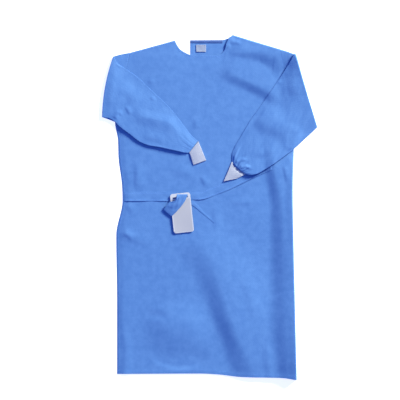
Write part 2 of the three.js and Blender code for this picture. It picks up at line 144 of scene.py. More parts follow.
# The four corners of each cell of a grid of points, row after row; a closed grid runs round to its start
def gridFaces(rows, columns, closed=False):
    cells = columns if closed else columns - 1
    r, c = np.meshgrid(np.arange(rows - 1), np.arange(cells), indexing="ij")
    beside = (c + 1) % columns
    corners = [r * columns + c, r * columns + beside, (r + 1) * columns + beside, (r + 1) * columns + c]
    return np.stack(corners, -1).reshape(-1, 4)


# A mesh from points in millimetres and arrays of faces, with the cut of the cloth as its UV map in metres
def addPiece(name, points, faces, material, nodes=(), cut=None, cutFaces=None, wall=None):
    mesh = bpy.data.meshes.new(name)
    faceLists = [list(face) for group in faces for face in group.tolist()]
    mesh.from_pydata((points.reshape(-1, 3) * mm).tolist(), [], faceLists)
    mesh.polygons.foreach_set("use_smooth", np.ones(len(mesh.polygons), bool))
    if cut is not None:
        layer = mesh.uv_layers.new(name="cut")
        corners = (faces[0] if cutFaces is None else cutFaces).ravel()
        layer.data.foreach_set("uv", (cut.reshape(-1, 2)[corners] * mm).ravel())
    mesh.update()
    mesh.materials.append(material)
    piece = bpy.data.objects.new(name, mesh)
    bpy.context.scene.collection.objects.link(piece)
    if wall:
        solidify = piece.modifiers.new("wall", "SOLIDIFY")
        solidify.thickness = wall * mm
        solidify.offset = -1  # the modelled side stays outside
    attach(piece, root)
    if nodes:
        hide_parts(*nodes)
    return piece


# An sRGB hex colour as linear red, green and blue with full alpha
def linear(hexColour):
    values = np.array([int(hexColour[i : i + 2], 16) for i in (1, 3, 5)]) / 255
    low = values / 12.92
    high = ((values + 0.055) / 1.055) ** 2.4
    return (*np.where(values <= 0.04045, low, high).tolist(), 1.0)


# A node with its settings, the values of its sockets and the links into it, from a socket or from a node's
# first output
def addNode(tree, kind, settings=None, values=None, links=None):
    node = tree.nodes.new(kind)
    for name, value in (settings or {}).items():
        setattr(node, name, value)
    for socket, value in (values or {}).items():
        node.inputs[socket].default_value = value
    for socket, source in (links or {}).items():
        output = source.outputs[0] if isinstance(source, bpy.types.Node) else source
        tree.links.new(output, node.inputs[socket])
    return node


# A material from its look, a function that adds its nodes to the tree and gives back the surface
def newMaterial(name, look, *settings):
    material = bpy.data.materials.new(name)
    material.use_nodes = True
    tree = material.node_tree
    tree.nodes.clear()
    addNode(tree, "ShaderNodeOutputMaterial", links={"Surface": look(tree, *settings)})
    return material


# Spunbond polypropylene nonwoven: melt-spun fibres laid at random and pressed together at small points by a
# heated roll. The eye sees a matt, slightly dry cloth with clouds of thicker and thinner fibre.
spunbond = {
    "cloud": 26,  # size of the clouds of fibre
    "clump": 7,
    "bondPitch": 4.8,  # real points are about 2.4 apart, drawn twice as coarse so that they show
    "bondDepth": 0.11,
    "clumpDepth": 0.18,
    "roughness": 0.78,
    "sheen": 0.12,
}


def nonwovenCloth(tree, thin, thick):
    cut = addNode(tree, "ShaderNodeUVMap", {"uv_map": "cut"})
    cloud = addNode(
        tree, "ShaderNodeTexNoise", {"noise_dimensions": "2D"},
        {"Scale": 1 / (spunbond["cloud"] * mm), "Detail": 4.0, "Roughness": 0.6}, {"Vector": cut},
    )
    share = addNode(
        tree, "ShaderNodeMapRange", values={"From Min": 0.32, "From Max": 0.68}, links={"Value": cloud},
    )
    colour = addNode(
        tree, "ShaderNodeMix", {"data_type": "RGBA"}, {6: linear(thin), 7: linear(thick)}, {0: share},
    )
    turned = addNode(
        tree, "ShaderNodeMapping", values={"Rotation": (0, 0, math.radians(45))}, links={"Vector": cut},
    )
    bonds = addNode(
        tree, "ShaderNodeTexVoronoi", {"voronoi_dimensions": "2D"},
        {"Scale": 1 / (spunbond["bondPitch"] * mm), "Randomness": 0.0}, {"Vector": turned},
    )
    pressed = addNode(
        tree, "ShaderNodeMapRange", {"interpolation_type": "SMOOTHSTEP"},
        {"From Min": 0.14, "From Max": 0.34}, {"Value": bonds},
    )
    clumps = addNode(
        tree, "ShaderNodeTexNoise", {"noise_dimensions": "2D"},
        {"Scale": 1 / (spunbond["clump"] * mm), "Detail": 3.0}, {"Vector": cut},
    )
    uneven = addNode(
        tree, "ShaderNodeBump", values={"Strength": 1.0, "Distance": spunbond["clumpDepth"] * mm},
        links={"Height": clumps},
    )
    embossed = addNode(
        tree, "ShaderNodeBump", values={"Strength": 1.0, "Distance": spunbond["bondDepth"] * mm},
        links={"Height": pressed, "Normal": uneven},
    )
    return addNode(
        tree, "ShaderNodeBsdfPrincipled",
        values={
            "Roughness": spunbond["roughness"], "IOR": 1.49, "Specular IOR Level": 0.3,
            "Sheen Weight": spunbond["sheen"], "Sheen Roughness": 0.5,
        },
        links={"Base Color": colour.outputs[2], "Normal": embossed},
    )


# Rib knit of white cotton and polyester: raised ribs with grooves between them and small loops along each
# rib, so it looks soft, with fine stripes of painted shade that darken the grooves
ribKnitLook = {"pitch": 2.3, "loop": 1.8, "loopDepth": 0.1}


def knitCloth(tree, raised, grooveShade):
    cut = addNode(tree, "ShaderNodeUVMap", {"uv_map": "cut"})
    ribs = addNode(
        tree, "ShaderNodeTexWave", {"wave_type": "BANDS", "bands_direction": "X", "wave_profile": "SIN"},
        {"Scale": math.pi / 10 / (ribKnitLook["pitch"] * mm), "Distortion": 0.0}, {"Vector": cut},
    )
    # the groove colour is painted shade, mixed in along the ribs
    colour = addNode(
        tree, "ShaderNodeMix", {"data_type": "RGBA"}, {6: linear(grooveShade), 7: linear(raised)},
        {0: ribs.outputs["Fac"]},
    )
    loops = addNode(
        tree, "ShaderNodeTexWave", {"wave_type": "BANDS", "bands_direction": "Y", "wave_profile": "SIN"},
        {"Scale": math.pi / 10 / (ribKnitLook["loop"] * mm), "Distortion": 1.5, "Detail": 1.0},
        {"Vector": cut},
    )
    bumps = addNode(
        tree, "ShaderNodeBump", values={"Strength": 1.0, "Distance": ribKnitLook["loopDepth"] * mm},
        links={"Height": loops.outputs["Fac"]},
    )
    return addNode(
        tree, "ShaderNodeBsdfPrincipled",
        values={"Roughness": 0.9, "IOR": 1.5, "Specular IOR Level": 0.2, "Sheen Weight": 0.2},
        links={"Base Color": colour.outputs[2], "Normal": bumps},
    )


# Bleached board with a matt coating: almost smooth, with a little fibre under the coating, and a pale tinted
# field inside a plain white margin. Without the field it makes the label.
boardLook = {"fibre": 3, "fibreDepth": 0.03}


def coatedBoard(tree, margin, field, fieldHalfWidth=None, fieldBottom=None, fieldTop=None):
    cut = addNode(tree, "ShaderNodeUVMap", {"uv_map": "cut"})
    fibre = addNode(
        tree, "ShaderNodeTexNoise", {"noise_dimensions": "2D"},
        {"Scale": 1 / (boardLook["fibre"] * mm), "Detail": 4.0}, {"Vector": cut},
    )
    share = addNode(
        tree, "ShaderNodeMapRange", values={"From Min": 0.3, "From Max": 0.7}, links={"Value": fibre},
    )
    if fieldHalfWidth:
        place = addNode(tree, "ShaderNodeSeparateXYZ", links={"Vector": cut}).outputs
        sideways = addNode(tree, "ShaderNodeMath", {"operation": "ABSOLUTE"}, links={0: place["X"]})
        tests = [
            addNode(tree, "ShaderNodeMath", {"operation": operation}, {1: limit * mm}, {0: source})
            for operation, limit, source in (
                ("LESS_THAN", fieldHalfWidth, sideways),
                ("GREATER_THAN", fieldBottom, place["Y"]),
                ("LESS_THAN", fieldTop, place["Y"]),
            )
        ]
        inField = tests[0]
        for test in tests[1:]:
            inField = addNode(tree, "ShaderNodeMath", {"operation": "MULTIPLY"}, links={0: inField, 1: test})
        speckle = addNode(
            tree, "ShaderNodeMath", {"operation": "MULTIPLY_ADD"}, {1: 0.2, 2: -0.1}, {0: share},
        )
        share = addNode(
            tree, "ShaderNodeMath", {"operation": "ADD", "use_clamp": True},
            links={0: inField, 1: speckle},
        )
    colour = addNode(
        tree, "ShaderNodeMix", {"data_type": "RGBA"}, {6: linear(margin), 7: linear(field)}, {0: share},
    )
    grain = addNode(
        tree, "ShaderNodeBump", values={"Strength": 1.0, "Distance": boardLook["fibreDepth"] * mm},
        links={"Height": fibre},
    )
    return addNode(
        tree, "ShaderNodeBsdfPrincipled",
        values={"Roughness": 0.55, "IOR": 1.5, "Specular IOR Level": 0.4},
        links={"Base Color": colour.outputs[2], "Normal": grain},
    )


# Spun polyester thread: slightly lighter than the cloth, with a twist that gives it a broken shine
threadLook = {"twist": 1.1}


def sewingThread(tree, light, dark):
    place = addNode(tree, "ShaderNodeTexCoord").outputs["Object"]
    twist = addNode(
        tree, "ShaderNodeTexNoise", values={"Scale": 1 / (threadLook["twist"] * mm), "Detail": 1.0},
        links={"Vector": place},
    )
    colour = addNode(
        tree, "ShaderNodeMix", {"data_type": "RGBA"}, {6: linear(light), 7: linear(dark)}, {0: twist},
    )
    return addNode(
        tree, "ShaderNodeBsdfPrincipled", values={"Roughness": 0.6, "IOR": 1.5, "Sheen Weight": 0.1},
        links={"Base Color": colour.outputs[2]},
    )


blueCloth = newMaterial("spunbond_nonwoven_blue", nonwovenCloth, "#5E8FD0", "#5586C9")
# the neck band's darker blue is painted shade for the dark line along the back neck
bandShadedCloth = newMaterial("spunbond_nonwoven_band_shaded", nonwovenCloth, "#5473B0", "#4C6CA9")
# cuff knit: its second colour is the painted shade of the grooves
whiteKnit = newMaterial("rib_knit_white", knitCloth, "#C0C6D5", "#B3BACA")
whiteThread = newMaterial("polyester_thread_white", sewingThread, "#E2E7F2", "#C9D1E4")
blueThread = newMaterial("polyester_thread_blue", sewingThread, "#6FA3EE", "#5489DC")
print("materials made")


# Body: its edges, seen from above
body = {
    "shell": 0.5,  # the cloth itself
    "frontBase": 1.8,  # top of the front where it is sewn to the backs
    "insideBack": 2.2,  # top of the band and the label inside the back
    "restGap": 0.5,
    "tape": 0.9,
    # y and x of the sides, from the hem up to the shoulder
    "leftSide": [
        (-604.5, -336), (-336, -336), (-104, -339), (26, -316), (77, -318), (186, -331), (240, -332.5),
        (309, -343.5), (560.5, -289),
    ],
    "rightSide": [
        (-625, 316), (-445, 311.5), (-264, 307.5), (-82, 303.5), (63, 301.5), (215, 304.5), (573.5, 255),
    ],
    # x and y of the hem and the neckline, from left to right
    "hem": [(-336, -604.5), (-35, -603), (28, -606), (113, -615), (264, -618), (316, -625)],
    "neckline": [
        (-127, 605), (-118, 587.5), (-108, 573.5), (-90, 561.5), (-70, 553), (-35, 551), (19, 551),
        (41, 555), (53.5, 573), (60, 595), (69, 613.5), (84, 625),
    ],
    # jags at the right of the neckline: height, radians to a millimetre, and x where they start and end
    "jagHeight": 2.2,
    "jagWave": 0.55,
    "jagStart": (44, 56),
    "jagEnd": (72, 82),
    "leftUnderarm": 309,
    "rightUnderarm": 215,
}
leftSide = np.array(body["leftSide"], float)
rightSide = np.array(body["rightSide"], float)
hemEdge = np.array(body["hem"], float)
neckline = np.array(body["neckline"], float)
shoulderEnds = np.array([leftSide[-1, ::-1], neckline[0], neckline[-1], rightSide[-1, ::-1]])


# Where an edge lies at places along it, and at shares of the way along it
def edgeAt(edge, at):
    return easedCurve(at, edge[:, 0], edge[:, 1])


def edgeShare(edge, share):
    return edgeAt(edge, mix(edge[0, 0], edge[-1, 0], share))


# Straight along the shoulders, and a curve along the neckline between them, jagged where it is gathered
def topY(x):
    shoulders = np.interp(x, shoulderEnds[:, 0], shoulderEnds[:, 1])
    jagged = ease(x, *body["jagStart"]) * fade(x, *body["jagEnd"])
    jags = body["jagHeight"] * np.sin((x - body["jagStart"][0]) * body["jagWave"]) * jagged
    return np.where(insideNeck(x) > 0, edgeAt(neckline, x) + jags, shoulders)


# Distance inwards from the ends of the neckline, and from the sides
def insideNeck(x):
    return np.minimum(x - neckline[0, 0], neckline[-1, 0] - x)


def insideSides(x, y):
    return np.minimum(x - edgeAt(leftSide, y), edgeAt(rightSide, y) - x)


# Front: how it lies over the backs, its large folds and its finer creases
frontPanel = {
    "loft": 1.6,
    "sideRoll": 26,
    "armRoll": 70,
    "foldRoll": 18,
    "shoulderRoll": 3,
    "neckRoll": 45,
    "neckDrop": 0.55,  # how much lower it lies along its top edges
    "rightRoll": 3,  # the fold along the right side stands up at the edge
    "freeSide": (145, 205),  # y over which the right side comes free below the armhole
    "armSide": (290, 340),  # y over which the roll of the sides widens to that of the armholes
    "hemSettle": 0.15,  # how much lower the folds are at the hem
    "hemReach": 70,  # height above the hem where they are full
    "armholeRise": 0.7,  # up to the start of the sleeves
    "armholeWidth": 34,
    "armBlend": 25,  # from the underarm up or down
    "columns": (44, 58, 48),  # left shoulder, neckline, right shoulder
    "rows": 240,
    "edgeSteps": (0, 0.7, 1.6, 2.8, 4.5),  # finer cells along the edges
    "seamDrop": 1.0,  # how far the edge turns down to its seam
    "seamWidth": 4.5,
    "hemFold": (12, 16),  # where the folded hem ends
    "hemStep": 0.5,
    "uneven": (4, 0.33, 150),  # seed, height and wavelength
    # folds that run on over the right armhole
    "rightFolds": [
        # plateau along the shoulder
        ([(66, 558), (110, 564), (146, 565), (182, 566), (206, 566), (237, 565), (262, 560)],
         [0, 3.4, 5.2, 6.8, 8.8, 11.2, 11.8], [40, 80, 140, 220, 300, 300, 300],
         [18, 26, 36, 46, 64, 90, 98], (0, 0)),
        # chest, above the right elbow
        ([(30, 512), (110, 472), (160, 450), (222, 420), (246, 402), (268, 384)],
         [3.4, 5.4, 6.8, 7, 3.4, 0], 240, [42, 42, 42, 46, 46, 46], (0.2, 0)),
        # side, from under the sleeve to the hem, and the edge beside it
        ([(226, 260), (231, 205), (236, 150), (243, 113), (266, 26), (274, -60), (280, -180), (290, -300),
          (298, -440), (306, -560), (310, -660)],
         [0, 4.4, 7.4, 8.4, 9.1, 9.9, 10.8, 12.6, 13.6, 13.6, 13.4], 400,
         [40, 42, 44, 46, 56, 62, 68, 80, 86, 84, 80], (0, 0)),
        ([(304, 190), (306, 60), (308, -180), (312, -300), (316, -440), (322, -660)],
         [1.5, 2.7, 3, 3, 3, 3], 60, [34, 38, 42, 40, 36, 32], (0.1, 0)),
    ],
    "shoulderLine": [(84, 625), (254.6, 572), (281, 564), (303, 556), (340, 542)],
    # edge of the neckline, gathered and standing up
    "neckGathers": [
        ([(50, 566), (60, 590), (73, 610), (86, 624)], [0, 2.4, 3, 1], 24, 14, (0, 0)),
        ([(72, 600), (94, 597), (122, 591)], 2, 16, 9, (0.2, 0.5)),
        ([(58, 584), (80, 580)], 1.8, 9, 6, (0, 0.6)),
    ],
    "folds": [
        # skirt, from below the card to the hem
        ([(-75, -88), (5, -190), (42, -290), (66, -375), (90, -440), (112, -492), (138, -548),
          (180, -643)],
         [2.3, 6.1, 9.1, 10.6, 11.4, 11.4, 10.6, 10.6], [120, 160, 220, 300, 400, 460, 500, 500],
         [100, 90, 84, 76, 72, 76, 88, 110], (0.1, 0), 0.15),
        # broad bulge across the left of the skirt
        ([(-250, -440), (-120, -432), (20, -425)], 6.1, 110, 125, (0.4, 0.4)),
        # from the left hip towards the card
        ([(-335, -95), (-190, -135)], 1.4, 44, 26, (0.3, 0.6)),
    ],
    "creases": [
        # dish in the lower left of the skirt, with a low ridge under it
        ([(-220, -518), (-180, -556), (-115, -574), (-40, -558), (8, -525)],
         -2.3, 85, 24, (0.3, 0.3), 0.3),
        ([(-190, -588), (-60, -592), (40, -580)], 0.8, 18, 20, (0.4, 0.4)),
        ([(-245, -388), (-135, -396)], -1.4, 24, 22, (0.4, 0.4)),
        # left hip and waist
        ([(-318, -92), (-296, -101), (-276, -118)], 2, 26, 11, (0.3, 0.4)),
        ([(-263, 170), (-262, 110), (-264, 62)], 1.8, 40, 15, (0.5, 0.3)),
        ([(-306, 12), (-285, -8), (-278, -34)], 1.2, 26, 14, (0.3, 0.5)),
        # above and below the belt
        ([(-32, 118), (-12, 72)], 1.5, 28, 10, (0.4, 0.4)),
        ([(-150, 138), (-88, 128), (-40, 96)], 1.1, 34, 22, (0.4, 0.5)),
        ([(60, 22), (128, 16), (190, 24)], 1, 26, 14, (0.4, 0.4)),
        ([(14, 20), (24, -50), (18, -125)], 0.9, 30, 18, (0.3, 0.5)),
        ([(269, 152), (281, 80)], 1.5, 20, 7, (0.2, 0.5)),
        # chest, beside the sleeves
        ([(-54, 330), (-49, 284)], 1.1, 26, 12, (0.4, 0.2)),
        ([(-226, 456), (-196, 452)], 1.1, 18, 9, (0.4, 0.4)),
        # ripples of the skirt
        ([(118, -230), (150, -330), (168, -430)], 1.1, 46, 30, (0.3, 0.4)),
        ([(206, -470), (214, -560), (226, -640)], 1.4, 36, 26, (0.4, 0)),
        ([(-306, -430), (-300, -540), (-306, -620)], 1.2, 28, 20, (0.3, 0)),
    ],
}


# Share of their full height that the folds have, less towards the hem
def settled(x, y):
    return 1 - frontPanel["hemSettle"] * fade(y - edgeAt(hemEdge, x), 0, frontPanel["hemReach"])


# Height of the folds of the right side. Past the armhole they keep the height that they have there, and they
# end in a tight roll along the shoulder line and along the free side.
def rightRise(x, y):
    line = np.array(frontPanel["shoulderLine"], float)
    below = np.interp(x, line[:, 0], line[:, 1]) - y
    side = edgeAt(rightSide, y)
    rolled = fade(side - x, 0, frontPanel["rightRoll"])
    free = rolled * fade(y, *frontPanel["freeSide"])
    folds = creaseHeight(np.minimum(x, side), y, frontPanel["rightFolds"])
    return folds * ease(below, 0, frontPanel["shoulderRoll"]) * (1 - free) * settled(x, y)


# Top of the front: the backs and the seam under it, its loft and folds, held down along sides and shoulders
def frontTop(x, y):
    inside = insideSides(x, y)
    below = topY(x) - y
    held = ease(below, 0, frontPanel["shoulderRoll"])
    held = np.maximum(held, ease(insideNeck(x), 0, frontPanel["neckRoll"]))
    folds = creaseHeight(x, y, frontPanel["folds"]) * settled(x, y)
    fine = creaseHeight(x, y, frontPanel["creases"]) + unevenness(x, y, *frontPanel["uneven"])
    sideRoll = mix(frontPanel["sideRoll"], frontPanel["armRoll"], ease(y, *frontPanel["armSide"]))
    sideRoll, foldRoll = [
        np.where(x > 0, frontPanel["rightRoll"] + roll * ease(y, *frontPanel["freeSide"]), roll)
        for roll in (sideRoll, frontPanel["foldRoll"])
    ]
    lift = frontPanel["loft"] * ease(inside, 0, sideRoll) + (folds + fine) * ease(inside, 0, foldRoll)
    low = 1 - frontPanel["neckDrop"] * fade(below, 0, frontPanel["neckRoll"])
    gathers = creaseHeight(x, y, frontPanel["neckGathers"])
    return body["frontBase"] + np.maximum(lift, 0) * held * low + rightRise(x, y) + gathers


# Shares of a run from 0 to 1 with finer steps at both ends
def sharesWithEdges(shares, length):
    steps = np.array(frontPanel["edgeSteps"]) / length
    kept = shares[(shares > steps[-1]) & (shares < 1 - steps[-1])]
    return np.unique(np.concatenate([steps, kept, 1 - steps[::-1]]))


def makeFront():
    stops = shoulderEnds[:, 0]
    left, right = stops[0], stops[-1]
    runs = [np.linspace(a, b, n, endpoint=False) for a, b, n in zip(stops, stops[1:], frontPanel["columns"])]
    shares = (np.concatenate([*runs, [right]]) - left) / (right - left)
    across = sharesWithEdges(shares, rightSide[0, 1] - leftSide[0, 1])[None, :]
    up = sharesWithEdges(np.linspace(0, 1, frontPanel["rows"]), leftSide[-1, 0] - leftSide[0, 0])[:, None]
    x = mix(edgeShare(leftSide, up), edgeShare(rightSide, up), across)
    hem = edgeShare(hemEdge, across)
    top = topY(mix(left, right, across))
    y = mix(hem, top, up)
    inside = insideSides(x, y)
    seam = frontPanel["seamWidth"]
    aboveArm = y - np.where(x < 0, body["leftUnderarm"], body["rightUnderarm"])
    atSide = fade(inside, 0, seam) * ease(-aboveArm, 0, frontPanel["armBlend"])
    atShoulder = fade(top - y, 0, seam) * (insideNeck(x) < 0)
    atArmhole = fade(inside, 0, frontPanel["armholeWidth"]) * ease(aboveArm, 0, frontPanel["armBlend"])
    z = frontTop(x, y) + frontPanel["armholeRise"] * atArmhole
    z = z - frontPanel["seamDrop"] * np.maximum(atSide, atShoulder)
    z = z + frontPanel["hemStep"] * fade(y - hem, *frontPanel["hemFold"])
    points = np.stack([x, y, z], -1)
    piece = addPiece(
        "front_panel", points, [gridFaces(*x.shape)], blueCloth, ["front"], points[..., :2],
        wall=body["shell"],
    )


makeFront()
print("front panel made")


# Backs: two panels that lie on the surface, with a folded hem along the open centre and soft ridges that
# the rest of the gown lies over
backPanels = {
    "leftEdge": -133,
    "rightEdge": -71,
    "hemShort": 4,
    "neckEnd": (50, 607),
    "neckY": 606,
    "columns": 60,
    "rows": 150,
    "hemStep": 0.5,
    "centreHem": (13, 15),  # where the folded hem of the centre ends
    "hemSteps": (9, 12, 13, 14, 15, 16),  # finer cells across it
    "cellWidth": 300,  # size that the finer cells are shares of
    "cellLength": 1200,
    "sideFade": (10, 60),  # the ridges fade towards the outer side, the centre and the top
    "centreFade": (20, 60),
    "topFade": (20, 70),
    "creases": [
        ([(-300, 240), (-250, 60), (-235, -120)], 2, 34, 24, (0.3, 0.4)),
        ([(-230, -180), (-200, -360), (-215, -540)], 1.8, 30, 26, (0.3, 0.3)),
        ([(-290, 430), (-220, 360), (-165, 330)], 1.6, 26, 20, (0.3, 0.4)),
        ([(230, 330), (160, 200), (130, 40)], 2.2, 30, 38, (0.3, 0.4)),
        ([(60, -60), (100, -260), (90, -450)], 2, 36, 28, (0.4, 0.4)),
        ([(240, -120), (225, -320), (240, -520)], 2.2, 26, 34, (0.3, 0.3)),
        ([(30, 470), (120, 430), (200, 440)], 1.7, 24, 20, (0.4, 0.4)),
        ([(-30, 250), (10, 150), (0, 40)], 1.4, 22, 26, (0.4, 0.4)),
    ],
}
backUp = sharesWithEdges(np.linspace(0, 1, backPanels["rows"]), backPanels["cellLength"])[:, None]


# A back between its two sides, from the hem to its top. It lies on the surface, raised only by its ridges,
# which fade towards its edges, and by the folded hem of the centre.
def makeBack(name, node, left, right, topAt, centre):
    steps = np.array(frontPanel["edgeSteps"] + backPanels["hemSteps"]) / backPanels["cellWidth"]
    even = np.linspace(0, 1, backPanels["columns"])
    across = np.unique(np.concatenate([even, steps if centre == "left" else 1 - steps]))[None, :]
    hem = edgeAt(hemEdge, mix(left[0], right[0], across)) + backPanels["hemShort"]
    top = topAt(mix(left[-1], right[-1], across))
    x = mix(left, right, across)
    y = mix(hem, top, backUp)
    fromCentre, fromSide = (x - left, right - x) if centre == "left" else (right - x, x - left)
    shown = ease(fromSide, *backPanels["sideFade"]) * ease(fromCentre, *backPanels["centreFade"])
    shown = shown * ease(top - y, *backPanels["topFade"])
    ridges = np.maximum(creaseHeight(x, y, backPanels["creases"]), 0) * shown
    folded = backPanels["hemStep"] * fade(fromCentre, *backPanels["centreHem"])
    points = np.stack([x, y, body["shell"] + ridges + folded], -1)
    piece = addPiece(
        name, points, [gridFaces(*x.shape)], blueCloth, [node], points[..., :2],
        wall=body["shell"],
    )


# Level along the back neck, then up to the neck point and down the shoulder
def backTopY(x):
    neckEndX, neckEndY = backPanels["neckEnd"]
    xs = [backPanels["rightEdge"], neckEndX, *neckline[-2:, 0], shoulderEnds[-1, 0]]
    ys = [backPanels["neckY"], neckEndY, *neckline[-2:, 1], shoulderEnds[-1, 1]]
    return np.interp(x, xs, ys)


makeBack(
    "back_panel_left", "back_left", edgeShare(leftSide, backUp), backPanels["leftEdge"] + 0 * backUp, topY,
    "right",
)
makeBack(
    "back_panel_right", "back_right", backPanels["rightEdge"] + 0 * backUp, edgeShare(rightSide, backUp),
    backTopY, "left",
)
print("back panels made")


# Belts lie on the front. Rows give the centre line and the width.
belts = {
    "step": 4,
    "cells": 16,
    "rim": 0.01,  # share of the width in the narrow row along each edge
    "edgeFold": 5,  # the folded edges are this wide
    "sewnRow": 3,  # row of points that the sewing follows, from each edge
    "edgeStep": {"left": 0.3, "right": 0.3, "tail": 0},
    "left": [(-316, 38.5, 33), (-240, 39, 33), (-150, 38, 33), (-116, 32, 24)],
    "right": [
        (-86, 37, 20), (-62, 41, 27), (-36, 42, 29), (12, 57, 31), (66, 79, 31), (139, 113, 28),
        (219, 148, 26), (294, 184, 26),
    ],
    "tail": [(-80, 18, 10), (-62, 13, 13), (-20, -22, 9), (17, -55, 3)],
    "lowerLift": {"left": 1, "right": 1, "tail": 0},  # how far the lower edge stands off
    "lowerWave": (0.75, 0.35, 31, 1),  # of that lift: mean, swing, run to a radian, and start
    "close": (108, 16, 0.9, 0.5),  # where the lower edge lies closer, its reach, share and depth
    "ripple": (0.25, 17, 9, 41),  # height, and the runs along, across and between swells to a radian
    "tuck": {"left": 9, "right": 0.001, "tail": 0.001},  # length that goes down at its start
    "tuckDepth": 0.7,  # below the front
    "freeFrom": {"left": 0, "right": 24, "tail": 4},  # length that the card holds down
    "freeBlend": 25,
    "rise": {"left": 0.9, "right": 1, "tail": 0.8},
    "wall": 0.5,
    "upperPress": {"left": 10, "right": 10, "tail": 6},  # width of the upper edge that lies close
    "underFold": (221, 230, 3),  # where it goes in under the right fold of the front, and how deep
    "clear": 0.2,  # least gap above the backs
}


# Points of a strip along its centre line: aside goes from the left edge of the way it runs to the right one
def stripPlan(rows, step, cells):
    table = np.array(rows, float)
    along = runAlong(table[:, :2])
    at = np.linspace(0, along[-1], math.ceil(along[-1] / step) + 1)
    line = easedCurve(at, along, table)
    way = np.gradient(line[:, :2], at, axis=0)
    way = way / np.linalg.norm(way, axis=1, keepdims=True)
    across = np.linspace(0.5 - belts["rim"], belts["rim"] - 0.5, cells - 1)
    aside = line[:, 2, None] * np.concatenate([[0.5], across, [-0.5]])
    x = line[:, 0, None] - way[:, 1, None] * aside
    y = line[:, 1, None] + way[:, 0, None] * aside
    return x, y, aside, np.broadcast_to(at[:, None], x.shape)


# Height of a belt's top: what it lies on, its tape, its folded lower edge and how far that edge lifts. It
# gives back the lines of its two rows of sewing.
def makeBelt(name, node, key):
    x, y, aside, along = stripPlan(belts[key], belts["step"], belts["cells"])
    half = np.abs(aside).max(axis=1, keepdims=True)
    folded = belts["edgeStep"][key] * ease(-aside - half + belts["edgeFold"], -1, 1)
    mean, swing, run, start = belts["lowerWave"]
    lower = np.clip(-aside / half, 0, 1) ** 2 * (mean + swing * np.sin(along / run + start))
    closeAt, closeReach, closeShare, closeDepth = belts["close"]
    close = np.exp(-(((along - closeAt) / closeReach) ** 2))
    lower = lower * (1 - closeShare * close) - closeDepth * close
    height, onward, across, swell = belts["ripple"]
    waves = height * np.sin(along / onward + aside / across) * np.sin(along / swell)
    free = ease(along, belts["freeFrom"][key], belts["freeFrom"][key] + belts["freeBlend"])
    tuckDepth = body["restGap"] + body["tape"] + belts["tuckDepth"]
    tucked = tuckDepth * fade(along, 0, belts["tuck"][key])
    pressed = fade(half - aside, 0, belts["upperPress"][key])
    rise = mix(belts["rise"][key], belts["wall"], pressed)
    foldFrom, foldTo, foldDepth = belts["underFold"]
    top = frontTop(x, y) + rise - tucked - foldDepth * ease(x, foldFrom, foldTo)
    top = np.maximum(top, body["shell"] + belts["wall"] + belts["clear"])
    z = top + free * (folded + waves + belts["lowerLift"][key] * lower)
    points = np.stack([x, y, z], -1)
    cut = np.stack([aside, along], -1)
    faces = gridFaces(*x.shape)
    piece = addPiece(name, points, [faces], blueCloth, [node], cut, wall=belts["wall"])
    return [points[:, belts["sewnRow"]], points[:, -1 - belts["sewnRow"]]]


beltLines = makeBelt("belt_band_left", "belt_left", "left")
beltLines += makeBelt("belt_band_right", "belt_right", "right")
makeBelt("belt_band_tail", "belt_tail", "tail")
print("belts made")


# Height of what a folded-over sleeve or a cuff lies on: the front, the belt across it, or the sleeve's
# start, whichever is higher, with a soft change between them
resting = {"underSleeveTop": 3.8, "seamNear": 0, "seamFar": 60, "beltNear": 18, "beltFar": 44, "blend": 2.5}


def restingOn(x, y):
    pastSeam = fade(insideSides(x, y), resting["seamNear"], resting["seamFar"])
    fromBelt = nearLine(x, y, np.array(belts["right"], float)[:, :2])[0]
    overBelt = fade(fromBelt, resting["beltNear"], resting["beltFar"])
    onFront = frontTop(x, y) + (body["tape"] + body["restGap"]) * overBelt
    onSleeve = (resting["underSleeveTop"] + rightRise(x, y)) * pastSeam
    return (onFront + onSleeve + np.sqrt((onFront - onSleeve) ** 2 + resting["blend"] ** 2)) / 2


